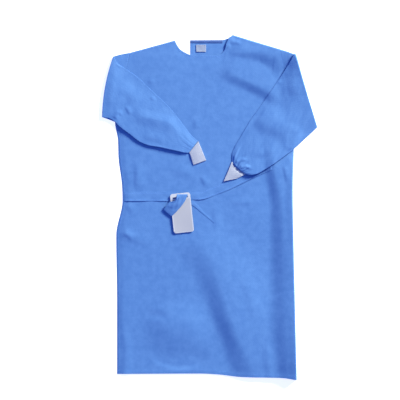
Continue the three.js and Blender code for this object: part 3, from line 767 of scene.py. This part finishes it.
# Sleeves: a row for each section from the armhole to the wrist, with its ends on the overarm and underarm
# edges, the air along its underarm edge and at its middle, how far it stands off what it lies on, how much
# more its underarm edge does, the gathers and the bow of the crease
sleeveShape = {
    "wall": (0.7, 0.5),  # at the armhole, and past the crease, where the two sides lie closer
    "edgeAir": (0.5, 0.15),
    "startRise": 2,  # how far the start rises towards the crease
    "around": 104,
    "step": 4,
    "turnSpan": 20,
    "turnReach": 0.45,  # how far the folded edge reaches out, as a share of its half height
    "turnStep": 1,
    "settle": 60,  # distance past the crease over which the two sides come closer
    "creaseFrom": (1, 9),  # distance from the edges over which creases grow
    "uneven": (7, 0.3, 120),  # seed, height and wavelength
    "gatherWaves": 4,
    "gatherDrift": (0.05, 1.3, 0.6),  # of the spacing: height, waves across the section, and start
    "gatherSmall": (0.45, 0.8),  # height and start of the smaller gathers between them
}
leftSleeve = {
    "creaseRow": 2,
    "out": -1,
    "pressed": 1,  # how close its overarm edge lies
    "sunk": 1.2,  # how far that edge sinks into the cloth below
    "pressWidth": 0.55,  # over this share of the section
    "gathers": 0.15,
    "rows": [
        (-288.6, 560.5, -343.6, 309, 0.8, 0.6, 0, 0, 0, 0),
        (-322, 554.5, -366, 318, 0.8, 1.2, 0, 0, 0, 0),
        (-348, 547, -388.5, 326, 1.2, 1, 2.6, 0, 0, 9),
        (-339, 528, -366, 323, 1.4, 1.5, 2.6, 0.4, 0, 0),
        (-318, 510, -344, 310, 1.7, 1.8, 2, 1.1, 0, 0),
        (-293, 494, -326, 292, 1.8, 1.8, 1.4, 1.8, 0, 0),
        (-264, 474, -289, 264, 1.8, 1.6, 1.1, 2, 0, 0),
        (-237, 448, -253, 237, 1.8, 1.6, 0.8, 2.2, 0, 0),
        (-209, 422, -217, 223, 1.8, 1.6, 0.7, 2.8, 0, 0),
        (-176, 391, -180, 217, 2, 1.6, 0.7, 3.4, 0, 0),
        (-144, 360, -144, 209, 2.2, 1.6, 0.7, 3.7, 0, 0),
        (-115, 324, -115, 203, 2.2, 1.6, 0.7, 3.4, 0, 0),
        (-86, 286, -94, 198, 2, 1.6, 0.6, 2.4, 1.1, 0),
        (-60, 254, -80, 197, 1.6, 1.6, 0.6, 1.4, 1.4, 0),
        (-42, 240, -74, 199, 0.9, 1.2, 0.6, 0, 0.5, 0),
    ],
    "creases": [
        # long fold from the elbow to the wrist
        ([(-276, 366), (-246, 328), (-214, 322), (-150, 308), (-124, 284), (-100, 262)],
         2.6, 32, 38, (0.3, 0.3), 0.3),
        ([(-330, 440), (-290, 415), (-262, 372)], 1.4, 38, 30, (0.4, 0.4)),
        # short creases at the elbow
        ([(-344, 318), (-332, 340), (-312, 340)], 1.7, 18, 10, (0.2, 0.3)),
        ([(-304, 368), (-287, 334)], 1.5, 20, 9, (0.3, 0.3)),
        ([(-218, 394), (-196, 392)], 1.1, 16, 9, (0.4, 0.4)),
        ([(-344, 520), (-312, 517), (-286, 500), (-258, 480), (-244, 458)], 2.3, 12, 15, (0.2, 0.3)),
        ([(-250, 262), (-196, 250), (-150, 238)], 1.1, 26, 20, (0.4, 0.4)),
        ([(-352, 470), (-362, 410), (-366, 362)], 1.1, 26, 16, (0.3, 0.3)),
    ],
}
rightSleeve = {
    "creaseRow": 2,
    "out": 1,
    "pressed": 0.7,
    "sunk": 0,
    "pressWidth": 0.3,
    "gathers": 1,
    "rows": [
        (254.6, 573.5, 301.6, 215, 0.8, 0.6, 0, 0, 0, 0),
        (281.5, 565, 346, 254, 0.8, 1.2, 0, 0, 0, 0),
        (305.5, 556, 388, 288, 1.2, 1.2, 5.8, 0, 0, 0),
        (291, 527, 364.5, 266, 1.2, 1.3, 5.2, 0.8, 0, 0),
        (273, 498, 330.5, 234.5, 1.2, 1.4, 4.3, 1.4, 0, 0),
        (251, 465, 304.5, 211, 1.3, 1.4, 2.8, 2, 0, 0),
        (219, 418, 273, 187, 1.4, 1.5, 1.7, 2.6, 0, 0),
        (182, 364, 237, 161, 1.6, 1.5, 1.2, 3.6, 0, 0),
        (146, 313, 200, 137, 1.8, 1.6, 1, 5.6, 0, 0),
        (112, 256, 168, 120, 2, 1.8, 0.9, 6.4, 0, 0),
        (90, 217, 150, 117, 2, 2.3, 0.8, 5.6, 1.1, 0),
        (80, 187, 138, 117, 1.9, 3.2, 0.8, 3.6, 1.7, -2),
        (80, 165, 130, 120, 1.4, 3, 0.7, 1.8, 0.9, -6),
    ],
    "creases": [
        # broad facet across the elbow
        ([(170, 328), (200, 306), (240, 288), (300, 252)],
         [2.3, 3.8, 3.8, 3], 90, [40, 50, 50, 44], (0.1, 0.2)),
        ([(236, 458), (264, 448)], 1.2, 16, 9, (0.3, 0.5)),
        ([(282, 520), (300, 440), (330, 372)], 1.4, 30, 34, (0.3, 0.4)),
        ([(322, 300), (306, 244), (290, 196)], 2.2, 30, 46, (0.3, 0.2)),
        # gathers by the cuff
        ([(96, 160), (116, 172), (140, 172)], 2.3, 12, 8, (0.1, 0.5)),
        ([(110, 142), (130, 148), (156, 138)], 2.3, 11, 8, (0.1, 0.5)),
        ([(86, 176), (96, 200), (110, 228)], 1.8, 12, 9, (0.1, 0.6)),
        ([(150, 190), (200, 196), (240, 214)], 1.1, 28, 20, (0.4, 0.4)),
    ],
}
underCreases = [
    ([(-260, 420), (-210, 330), (-150, 270)], 1, 30, 24, (0.3, 0.3)),
    ([(270, 420), (220, 300), (160, 190)], 1, 26, 30, (0.3, 0.3)),
]


# Uneven gathers across a wrist: waves whose spacing drifts along the section
def gatherWave(share):
    waves = sleeveShape["gatherWaves"]
    drift, drifts, driftStart = sleeveShape["gatherDrift"]
    small, smallStart = sleeveShape["gatherSmall"]
    place = 2 * np.pi * (share + drift * np.sin(2 * np.pi * drifts * share + driftStart))
    return np.cos(waves * place) + small * np.cos((2 * waves + 1) * place + smallStart)


# Steps round a flat tube, over the top and back below: the share across it, 1 on top and -1 below, and the
# share of its cut, which goes on from 1 to 2 below and has one step more, where the cut closes
def roundTube(count):
    steps = np.arange(2 * count + 1)
    across = (1 - np.cos(np.pi * steps / count)) / 2
    over = np.sign(np.round(np.sin(np.pi * steps / count), 9))
    cutShare = np.where(steps <= count, across, 2 - across)
    return across[None, :-1], over[None, :-1], cutShare[None, :]


# A tube from its points and its cut, whose faces turn the other way where it lies mirrored
def addTube(name, node, points, cut, mirrored, material, wall):
    cut = np.stack(cut, -1)
    way = -1 if mirrored else 1
    faces = gridFaces(*points.shape[:2], closed=True)[:, ::way]
    cutFaces = gridFaces(*cut.shape[:2])[:, ::way]
    return addPiece(name, points, [faces], material, [node], cut, cutFaces, wall)


# Height of a tube's half at a distance from its edge, from 0 to 1: a quarter circle of half its thickness
def roundEdge(fromEdge, thick):
    return np.sqrt(1 - (1 - np.clip(fromEdge / (thick / 2), 0, 1)) ** 2)


# Sections along a sleeve, closer round its crease: the distance along the cloth, the row of values, the turn
# of the fold from -90 to 90 degrees, and the shares of the way to the crease and of the settling past it
def sleeveSections(table, crease):
    places = runAlong((table[:, 0:2] + table[:, 2:4]) / 2)
    turnFrom, turnTo = places[crease], places[crease] + sleeveShape["turnSpan"]
    stations = np.concatenate([places[: crease + 1], places[crease:] + sleeveShape["turnSpan"]])
    before = np.arange(0, turnFrom, sleeveShape["step"])
    turning = np.arange(turnFrom, turnTo, sleeveShape["turnStep"])
    after = np.linspace(turnTo, stations[-1], math.ceil((stations[-1] - turnTo) / sleeveShape["step"]))
    at = np.concatenate([before, turning, after])[:, None]
    rows = easedCurve(at[:, 0], stations, np.concatenate([table[: crease + 1], table[crease:]]))
    turn = np.radians(np.interp(at, [turnFrom, turnTo], [-90, 90]))
    return at, rows, turn, ease(at, 0, turnFrom), ease(at, turnTo, turnTo + sleeveShape["settle"])


# A flattened tube that is turned over itself at the crease. Round each section the cloth runs over the top
# and back below, and depth goes from 0 inside the fold to 1 outside it, as a half circle at the edges.
# Round the crease each depth turns on a half circle about the middle of the fold.
def makeSleeve(name, node, sleeve):
    table = np.array(sleeve["rows"], float)
    at, rows, turn, started, past = sleeveSections(table, sleeve["creaseRow"])
    overX, overY, underX, underY, air, loft, off, lift, gathers, bow = rows.T[:, :, None]
    share, over, cutShare = roundTube(sleeveShape["around"])
    crease = table[sleeve["creaseRow"], 2:4] - table[sleeve["creaseRow"], 0:2]
    crease = crease / np.hypot(*crease)
    outX, outY = -crease[1] * sleeve["out"], crease[0] * sleeve["out"]
    bulge = 4 * bow * share * (1 - share)
    x = mix(overX, underX, share) + outX * bulge
    y = mix(overY, underY, share) + outY * bulge
    wall, edgeAir = [mix(*ends, past) for ends in (sleeveShape["wall"], sleeveShape["edgeAir"])]
    inside = mix(edgeAir, air, share)
    inside = inside + (loft + sleeve["gathers"] * gathers * gatherWave(share)) * np.sin(np.pi * share)
    thick = 2 * wall + inside
    width = np.hypot(underX - overX, underY - overY)
    fromEdge = width * np.minimum(share, 1 - share)
    depth = 0.5 + 0.5 * over * roundEdge(fromEdge, thick)
    atOverarm = past * fade(share, 0, sleeve["pressWidth"])
    high = restingOn(x, y) + off * (1 - sleeve["pressed"] * atOverarm) - sleeve["sunk"] * atOverarm
    high = high + lift * share**2 + depth * thick
    raised = sleeveShape["startRise"] * started + rightRise(x, y)
    low = (thick + raised) * (1 - depth) + body["shell"] * started * depth
    radius = (high - low) / 2
    z = (high + low) / 2 + radius * np.sin(turn)
    flatPart = ease(turn, 0, np.pi / 2) * ease(fromEdge, *sleeveShape["creaseFrom"])
    onTop = np.clip(2 * depth - 1, 0, 1) * flatPart
    onUnder = np.clip(1 - 2 * depth, 0, 1) * flatPart
    fine = creaseHeight(x, y, sleeve["creases"]) + unevenness(x, y, *sleeveShape["uneven"])
    z = z + onTop * fine + onUnder * creaseHeight(x, y, underCreases)
    reach = sleeveShape["turnReach"] * radius * np.cos(turn)
    points = np.stack([x + outX * reach, y + outY * reach, z], -1)
    cut = np.broadcast_arrays(width * cutShare, at)
    piece = addTube(name, node, points, cut, sleeve["out"] > 0, blueCloth, body["shell"])


makeSleeve("sleeve_tube_left", "sleeve_left", leftSleeve)
makeSleeve("sleeve_tube_right", "sleeve_right", rightSleeve)
print("sleeves made")


# Cuffs: knitted tubes from their seam on the sleeve to their open end, with a rolled seam at the start
cuffShape = {
    "shell": 0.8,  # the knit itself
    "wall": 1.0,  # with the loft of its ribs
    "air": 0.4,
    "loft": 1.2,
    "ribs": 22,  # across one side
    "ribHeight": 0.25,
    "around": 176,
    "sections": 30,
    "seamRoll": 0.4,
    "seamRollEnd": (0.14, 0.19),  # as shares of the cuff's length
    "endThin": (0.55, 0.6),  # how thick it is at the seam and at its open end, as a share of its middle
    "middle": (0.35, 0.4),  # where along it the middle starts and ends
}
leftCuff = {"seam": (-41.6, 239.7, -73.8, 198.6), "end": (-13, 170, -59, 153), "mirrored": False}
rightCuff = {"seam": (79.7, 164.6, 129.7, 119.6), "end": (50, 93, 99, 104), "mirrored": True}


# A flattened tube: the section goes straight from the overarm to the underarm edge and back below, its depth
# is a half circle at the edges, and ribs run along it as a cosine of the share across
def makeCuff(name, node, cuff):
    share, over, cutShare = roundTube(cuffShape["around"])
    down = np.linspace(0, 1, cuffShape["sections"])[:, None]
    overX, overY, underX, underY = [mix(*ends, down) for ends in zip(cuff["seam"], cuff["end"])]
    x = mix(overX, underX, share)
    y = mix(overY, underY, share)
    width = np.hypot(underX - overX, underY - overY)
    atSeam, atEnd = cuffShape["endThin"]
    middleFrom, middleTo = cuffShape["middle"]
    thin = 1 - (1 - atSeam) * fade(down, 0, middleFrom) - (1 - atEnd) * ease(down, middleTo, 1)
    thick = (2 * cuffShape["wall"] + cuffShape["air"] + cuffShape["loft"] * np.sin(np.pi * share)) * thin
    depth = over * roundEdge(width * np.minimum(share, 1 - share), thick)
    rib = cuffShape["ribHeight"] * (1 + np.cos(2 * np.pi * cuffShape["ribs"] * share)) / 2
    roll = cuffShape["seamRoll"] * fade(down, *cuffShape["seamRollEnd"])
    puff = np.clip(over * depth, 0, 1) * np.where(over > 0, rib + roll, -rib)
    middle = restingOn(x, y) + body["restGap"] + cuffShape["ribHeight"] + thick / 2
    points = np.stack([x, y, middle + depth * thick / 2 + puff], -1)
    cutWidth = ribKnitLook["pitch"] * cuffShape["ribs"]
    cutLength = math.dist(cuff["seam"][:2], cuff["end"][:2])
    cut = np.broadcast_arrays(cutWidth * cutShare, cutLength * down)
    piece = addTube(name, node, points, cut, cuff["mirrored"], whiteKnit, cuffShape["shell"])


makeCuff("cuff_knit_left", "cuff_left", leftCuff)
makeCuff("cuff_knit_right", "cuff_right", rightCuff)
print("cuffs made")


# Card: a rounded plate whose rim is joined to the nearest point of its slot
card = {
    "x": -100.7,
    "y": -20.5,
    "width": 73,
    "length": 143,
    "corner": 9,
    "turn": 6,
    "wall": 0.9,
    "slotFromTop": 13,
    "slotWidth": 56,
    "slotHeight": 5,
    "rim": 240,  # points round the rim
    "rings": 26,
    "curl": 0.8,  # how far its sides lift
    "lean": 1.5,  # how far its lower end lies below the end on the belts
    "leanFrom": 20,  # height above its middle where that starts
    "margin": 3.5,
    "slotMargin": 3,
    "edgeRound": 0.2,
    "sharpFrom": 50,  # degrees that an edge turns by to be rounded
}
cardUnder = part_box("transfer_card")[0].z / mm
cardBoard = newMaterial(
    "coated_board_white", coatedBoard, "#D6D9DF", "#BFC0C6", card["width"] / 2 - card["margin"],
    card["margin"] - card["length"] / 2,
    card["length"] / 2 - card["slotFromTop"] - card["slotHeight"] - card["slotMargin"],
)


# Points round a rounded rectangle at even steps, clockwise from the upper left. Straight runs and quarter
# circles take turns: the centre goes on to the next corner, and then the radius turns about it.
def roundedRim(width, length, corner, count):
    corners = np.array([(-1, 1), (1, 1), (1, -1), (-1, -1)]) * (width / 2 - corner, length / 2 - corner)
    quarter = corner * np.pi / 2
    runs = np.array([width - 2 * corner, quarter, length - 2 * corner, quarter] * 2)
    ends = np.concatenate([[0], np.cumsum(runs)])
    at = np.linspace(0, ends[-1], count, endpoint=False)
    i = np.searchsorted(ends, at, side="right") - 1
    t = (at - ends[i]) / runs[i]
    turning = i % 2
    turn = np.radians(90 - 90 * (i // 2 + t * turning))
    x, y = mix(corners[i // 2].T, corners[(i // 2 + 1) % 4].T, np.where(turning, 1, t))
    return x + corner * np.cos(turn), y + corner * np.sin(turn)


def makeCard():
    rimX, rimY = roundedRim(card["width"], card["length"], card["corner"], card["rim"])
    radius = card["slotHeight"] / 2
    slotY = card["length"] / 2 - card["slotFromTop"] - radius
    slotReach = card["slotWidth"] / 2 - radius
    middleX = np.clip(rimX, -slotReach, slotReach)
    gap = np.hypot(rimX - middleX, rimY - slotY)
    slotRimX = middleX + radius * (rimX - middleX) / gap
    slotRimY = slotY + radius * (rimY - slotY) / gap
    outward = np.linspace(0, 1, card["rings"])[:, None]
    u = mix(slotRimX, rimX, outward)
    v = mix(slotRimY, rimY, outward)
    lower = ease(-v, -card["leanFrom"], card["length"] / 2)
    lift = (card["curl"] * (2 * np.abs(u) / card["width"]) ** 2 - card["lean"]) * lower
    turn = math.radians(card["turn"])
    x = card["x"] + u * math.cos(turn) - v * math.sin(turn)
    y = card["y"] + u * math.sin(turn) + v * math.cos(turn)
    points = np.stack([x, y, cardUnder + card["wall"] + lift], -1)
    faces = gridFaces(*u.shape, closed=True)
    cut = np.stack([u, v], -1)
    piece = addPiece(
        "transfer_card_board", points, [faces], cardBoard, ["transfer_card"], cut,
        wall=card["wall"],
    )
    bevel = piece.modifiers.new("worn edge", "BEVEL")
    bevel.width = card["edgeRound"] * mm
    bevel.segments = 2
    bevel.limit_method = "ANGLE"
    bevel.angle_limit = math.radians(card["sharpFrom"])


makeCard()
print("card made")


# End of the belt, drawn up through the slot, laid over the card and turned back under itself. Rows give the
# place, the height above the card, the widths to the left and right of it and the way across.
beltEnd = {
    "rows": [
        (-103.5, 35.6, -1.4, 20, 22, 6),
        (-102, 43.5, 1.8, 18, 22, 5),
        (-103, 47, 4.4, 16, 22, 0),
        (-108, 36, 5.8, 12, 23, -14),
        (-118, 19.5, 5.2, 9.5, 21.5, -34),
        (-132, 4, 3.5, 21, 22, -40),
        (-145, -11, 1.3, 20, 21, -41),
        (-153, -20.5, -0.8, 19, 19, -41),
        (-154.5, -22, -2.1, 18, 18, -41),
        (-149, -15.5, -2.5, 15, 15, -41),
    ],
    "steps": 80,
    "cells": 32,
    "wall": 0.6,
    "crumple": 0.6,
    "dents": [(1, 4.4, 13, 0.4), (0.5, 7.5, -19, 1)],  # height, radians across and along, and start
    "dentsShown": (0.15, 0.3, 0.66, 0.76),  # shares of its run where they start, are full and end
    "curl": 3,  # of its left edge beside the slot
    "curlShown": (0.05, 0.14, 0.26, 0.42),
    "curlAcross": (0.2, 1),
}


# 0 up to the first of four values, 1 between the second and the third, and 0 from the fourth on
def between(value, low, full, fullTo, high):
    return ease(value, low, full) * fade(value, fullTo, high)


# A strip whose cross lines turn along its path, with soft dents and a left edge that curls up at the slot
def makeBeltEnd():
    table = np.array(beltEnd["rows"], float)
    along = runAlong(table[:, :3])
    at = np.linspace(0, along[-1], beltEnd["steps"])[:, None]
    placeX, placeY, above, leftWidth, rightWidth, aim = easedCurve(at[:, 0], along, table).T[:, :, None]
    aside = np.linspace(1, -1, beltEnd["cells"] + 1)[None, :]
    out = aside * np.where(aside > 0, rightWidth, leftWidth)
    x = placeX + out * np.cos(np.radians(aim))
    y = placeY + out * np.sin(np.radians(aim))
    share = at / along[-1]
    dents = sum(
        height * np.sin(across * aside + onward * share + start)
        for height, across, onward, start in beltEnd["dents"]
    )
    curl = between(share, *beltEnd["curlShown"]) * ease(-aside, *beltEnd["curlAcross"])
    z = cardUnder + card["wall"] + body["restGap"] + above + beltEnd["curl"] * curl
    crumpled = beltEnd["crumple"] * between(share, *beltEnd["dentsShown"]) * (1 - aside**4)
    points = np.stack([x, y, z + crumpled * (0.5 + dents)], -1)
    cut = np.stack(np.broadcast_arrays(out, at), -1)
    piece = addPiece(
        "belt_band_end", points, [gridFaces(*x.shape)], blueCloth, ["belt_loop"], cut,
        wall=beltEnd["wall"],
    )


makeBeltEnd()
print("belt end made")


# Neck band and label, flat on the inside of the right back
neckTrim = {
    "bandWidth": 118,
    "bandHeight": 10,
    "bandWall": 0.6,
    "bandGrid": (60, 14),  # points along and across it
    "bandRipple": (0.1, 6),  # height, and the run to a radian
    "labelX": -31.8,
    "labelY": 576.2,
    "labelWidth": 36,
    "labelHeight": 26,
    "labelWall": 0.4,
    "labelGrid": (37, 27),
    "labelCurl": 0.4,
    "labelRipple": (0.1, 9, 4),  # height, and radians across and up it
}
labelCloth = newMaterial("woven_label_white", coatedBoard, "#9EACC4", "#A2ACC1")
insideBack = body["insideBack"]


def makeNeckBand():
    columns, rows = neckTrim["bandGrid"]
    width, height, wall = neckTrim["bandWidth"], neckTrim["bandHeight"], neckTrim["bandWall"]
    along, aside = np.meshgrid(np.linspace(0, width, columns), np.linspace(0, height, rows))
    ripple, run = neckTrim["bandRipple"]
    x = backPanels["rightEdge"] + along
    y = backPanels["neckY"] - height + aside
    z = insideBack - wall + wall * np.sin(np.pi * aside / height) ** 0.5 + ripple * np.sin(along / run)
    points = np.stack([x, y, z], -1)
    # its material is the body cloth painted darker, as shade along the back neck
    piece = addPiece(
        "neck_band_fold", points, [gridFaces(*x.shape)], bandShadedCloth, ["neck_band"],
        points[..., :2], wall=wall,
    )


def makeLabel():
    columns, rows = neckTrim["labelGrid"]
    u, v = np.meshgrid(np.linspace(-0.5, 0.5, columns), np.linspace(-0.5, 0.5, rows))
    ripple, across, up = neckTrim["labelRipple"]
    x = neckTrim["labelX"] + neckTrim["labelWidth"] * u
    y = neckTrim["labelY"] + neckTrim["labelHeight"] * v
    curl = neckTrim["labelCurl"] * (2 * v) ** 2 * (1 - (2 * u) ** 6)
    z = insideBack - neckTrim["labelWall"] + curl + ripple * np.sin(across * u + up * v)
    points = np.stack([x, y, z], -1)
    piece = addPiece(
        "neck_label_plain", points, [gridFaces(*x.shape)], labelCloth, ["label"],
        points[..., :2], wall=neckTrim["labelWall"],
    )


makeNeckBand()
makeLabel()
print("neck band and label made")


# Sewing: each stitch is a small bead, half sunk in the cloth
stitch = {
    "pitch": 4.2,
    "length": 3,
    "width": 0.7,
    "height": 0.5,
    "sides": 6,
    "rings": (-0.42, -0.2, 0.2, 0.42),  # along it, as shares of its length
    "stand": 0.1,
    "look": 0.5,  # distance ahead and behind that gives the way it runs
}


# Even steps along a line of points, with the way it runs at each of them
def stepsAlong(line, pitch):
    lengths = runAlong(line[:, :2])
    at = np.arange(pitch / 2, lengths[-1], pitch)
    places, ahead, behind = [
        np.stack([np.interp(at + shift, lengths, values) for values in line.T], -1)
        for shift in (0, stitch["look"], -stitch["look"])
    ]
    way = (ahead - behind)[:, :2]
    return places, way / np.linalg.norm(way, axis=1, keepdims=True)


# Beads along lines: each is a six-sided spindle, its rings an ellipse of the distance from its middle
def makeStitches(name, lines, material, pitch=stitch["pitch"]):
    steps = [stepsAlong(line, pitch) for line in lines]
    places = np.concatenate([place for place, way in steps])
    ways = np.concatenate([way for place, way in steps])
    turn = np.linspace(0, 2 * np.pi, stitch["sides"], endpoint=False)
    rings = np.array(stitch["rings"])
    girth = np.sqrt(1 - (2 * rings) ** 2)
    length = stitch["length"] * pitch / stitch["pitch"]
    alongBead = np.concatenate([[-0.5], np.repeat(rings, len(turn)), [0.5]]) * length
    acrossBead = np.concatenate([[0], np.outer(girth, np.cos(turn)).ravel(), [0]]) * stitch["width"] / 2
    upBead = np.concatenate([[0], np.outer(girth, np.sin(turn)).ravel(), [0]]) * stitch["height"] / 2
    x = places[:, 0, None] + ways[:, 0, None] * alongBead - ways[:, 1, None] * acrossBead
    y = places[:, 1, None] + ways[:, 1, None] * alongBead + ways[:, 0, None] * acrossBead
    z = places[:, 2, None] + stitch["stand"] + upBead
    points = np.stack([x, y, z], -1)
    sides, last = stitch["sides"], len(alongBead) - 1
    walls = gridFaces(len(rings), sides, closed=True)[:, ::-1] + 1
    c = np.arange(sides)
    beside = (c + 1) % sides
    startCap = np.stack([np.zeros(sides, int), c + 1, beside + 1], -1)
    endCap = np.stack([np.full(sides, last), last - sides + beside, last - sides + c], -1)
    shift = (np.arange(len(places)) * len(alongBead))[:, None, None]
    caps = (np.concatenate([startCap, endCap])[None] + shift).reshape(-1, 3)
    addPiece(name, points, [(walls[None] + shift).reshape(-1, 4), caps], material)


# Distances of the sewing from its edge, and of its ends from the ends of the edge
seams = {
    "hem": 11,
    "hemEnds": 8,
    "neck": 6,
    "neckEnds": (12, 40),
    "shoulder": 5,
    "shoulderEnds": (4, 3),  # at the armhole and at the neck
    "side": 7,
    "sideEnds": 8,
    "label": 2,
    "labelPitch": 2.4,
    "band": 2,
    "bandEnds": 3,
    "backHem": 12,
    "backHemFrom": 500,
    "backHemGap": 4,  # to the sewing of the band
    "points": 200,
    "shoulderPoints": 60,
}


def onFront(x, y):
    return np.stack([x, y, frontTop(x, y)], -1)


def sewFront():
    ends, count = seams["hemEnds"], seams["points"]
    hemX = np.linspace(hemEdge[0, 0] + ends, hemEdge[-1, 0] - ends, count)
    lines = [onFront(hemX, edgeAt(hemEdge, hemX) + seams["hem"]) + (0, 0, frontPanel["hemStep"])]
    fromLeft, fromRight = seams["neckEnds"]
    neckX = np.linspace(neckline[0, 0] + fromLeft, neckline[-1, 0] - fromRight, count)
    slope = np.gradient(topY(neckX), neckX)
    inward = seams["neck"] / np.hypot(1, slope)
    lines.append(onFront(neckX + inward * slope, topY(neckX) - inward))
    for edge, underarm, inset in (
        (leftSide, body["leftUnderarm"], seams["side"]),
        (rightSide, body["rightUnderarm"], -seams["side"]),
    ):
        y = np.linspace(edge[0, 0] + seams["sideEnds"], underarm - seams["sideEnds"], count)
        lines.append(onFront(edgeAt(edge, y) + inset, y))
    fromArm, fromNeck = seams["shoulderEnds"]
    leftArm, leftNeck, rightNeck, rightArm = shoulderEnds[:, 0]
    for start, end in ((leftArm + fromArm, leftNeck - fromNeck), (rightNeck + fromNeck, rightArm - fromArm)):
        x = np.linspace(start, end, seams["shoulderPoints"])
        lines.append(onFront(x, topY(x) - seams["shoulder"]))
    makeStitches("stitching_front", lines, blueThread)


# Round the label, along the neck band and along the folded hem of the right back
def sewNeck():
    side, top = neckTrim["labelWidth"] / 2 - seams["label"], neckTrim["labelHeight"] / 2 - seams["label"]
    corners = np.array([(-side, -top), (side, -top), (side, top), (-side, top), (-side, -top)])
    labelLine = corners + (neckTrim["labelX"], neckTrim["labelY"])
    labelLine = np.column_stack([labelLine, np.full(len(labelLine), insideBack)])
    makeStitches("stitching_label", [labelLine], whiteThread, seams["labelPitch"])
    inset = seams["bandEnds"]
    bandEnds = backPanels["rightEdge"] + np.array([inset, neckTrim["bandWidth"] - inset])
    bandY = backPanels["neckY"] - neckTrim["bandHeight"] + seams["band"]
    bandLine = np.column_stack([bandEnds, [bandY, bandY], [insideBack, insideBack]])
    hemX = backPanels["rightEdge"] + seams["backHem"]
    hemTop = body["shell"] + backPanels["hemStep"]
    hemLine = np.array([(hemX, seams["backHemFrom"], hemTop), (hemX, bandY - seams["backHemGap"], hemTop)])
    makeStitches("stitching_neck", [bandLine, hemLine], blueThread)


makeStitches("stitching_belts", beltLines, blueThread)
sewNeck()
sewFront()
print("sewing made")


# Stage: a pale table that glows a little, a broad soft light from the upper right and even light from all
# round. Sizes are in metres and turns in degrees.
stage = {
    "floorHalf": 40.0,
    "floorGlow": 0.75,
    "floorGrain": 0.4,
    "lightTurn": 43,
    "lightHeight": 21,
    "lightAway": 14,
    "lightSize": 3.6,
    "lightPower": 4700,
    "aimX": 0.0,
    "aimY": 0.1,
    "lightColour": "#FFFCE2",
    "roundLight": 0.6,
    "roundColour": "#8AA6FF",  # as from a blue sky
    "viewX": -0.0354,
    "viewY": 0.0263,
    "viewWidth": 1.451,
    "cameraHeight": 5.0,
    "sensor": 36.0,  # millimetres
    "viewEnd": 40,
}


# Matt white studio floor, with a faint cloudiness that keeps it from looking like an empty page
def studioFloor(tree):
    place = addNode(tree, "ShaderNodeTexCoord").outputs["Object"]
    grain = addNode(
        tree, "ShaderNodeTexNoise", values={"Scale": 1 / stage["floorGrain"], "Detail": 2.0},
        links={"Vector": place},
    )
    colour = addNode(
        tree, "ShaderNodeMix", {"data_type": "RGBA"}, {6: linear("#F4F4F4"), 7: linear("#F7F7F7")},
        {0: grain},
    )
    glow = {"Emission Color": linear("#FFFFFF"), "Emission Strength": stage["floorGlow"]}
    return addNode(
        tree, "ShaderNodeBsdfPrincipled", values={"Roughness": 0.9, "Specular IOR Level": 0.0, **glow},
        links={"Base Color": colour.outputs[2]},
    )


def makeFloor():
    half = stage["floorHalf"]
    mesh = bpy.data.meshes.new("floor")
    corners = [(-half, -half, 0), (half, -half, 0), (half, half, 0), (-half, half, 0)]
    mesh.from_pydata(corners, [], [(0, 1, 2, 3)])
    mesh.materials.append(newMaterial("studio_floor_matt_white", studioFloor))
    floor = bpy.data.objects.new("floor", mesh)
    bpy.context.scene.collection.objects.link(floor)


def makeLight():
    lamp = bpy.data.lights.new("soft_key", "AREA")
    lamp.shape = "DISK"
    lamp.size = stage["lightSize"]
    lamp.energy = stage["lightPower"]
    lamp.color = linear(stage["lightColour"])[:3]
    turn, height = math.radians(stage["lightTurn"]), math.radians(stage["lightHeight"])
    level = math.cos(height)
    towards = Vector((level * math.cos(turn), level * math.sin(turn), math.sin(height)))
    key = bpy.data.objects.new("soft_key", lamp)
    key.rotation_euler = towards.to_track_quat("Z", "Y").to_euler()
    key.location = Vector((stage["aimX"], stage["aimY"], 0)) + towards * stage["lightAway"]
    bpy.context.scene.collection.objects.link(key)
    world = bpy.data.worlds.new("round_light")
    world.use_nodes = True
    world.node_tree.nodes.clear()
    glow = addNode(
        world.node_tree, "ShaderNodeBackground",
        values={"Color": linear(stage["roundColour"]), "Strength": stage["roundLight"]},
    )
    addNode(world.node_tree, "ShaderNodeOutputWorld", links={"Surface": glow})
    bpy.context.scene.world = world


def makeCamera():
    lens = bpy.data.cameras.new("camera")
    lens.sensor_width = stage["sensor"]
    lens.lens = stage["sensor"] * stage["cameraHeight"] / stage["viewWidth"]
    lens.clip_end = stage["viewEnd"]
    camera = bpy.data.objects.new("camera", lens)
    camera.location = (stage["viewX"], stage["viewY"], stage["cameraHeight"])
    bpy.context.scene.collection.objects.link(camera)
    bpy.context.scene.camera = camera


makeFloor()
makeLight()
makeCamera()
bpy.context.scene.view_settings.view_transform = "Standard"
print("stage set")

bpy.context.view_layer.update()
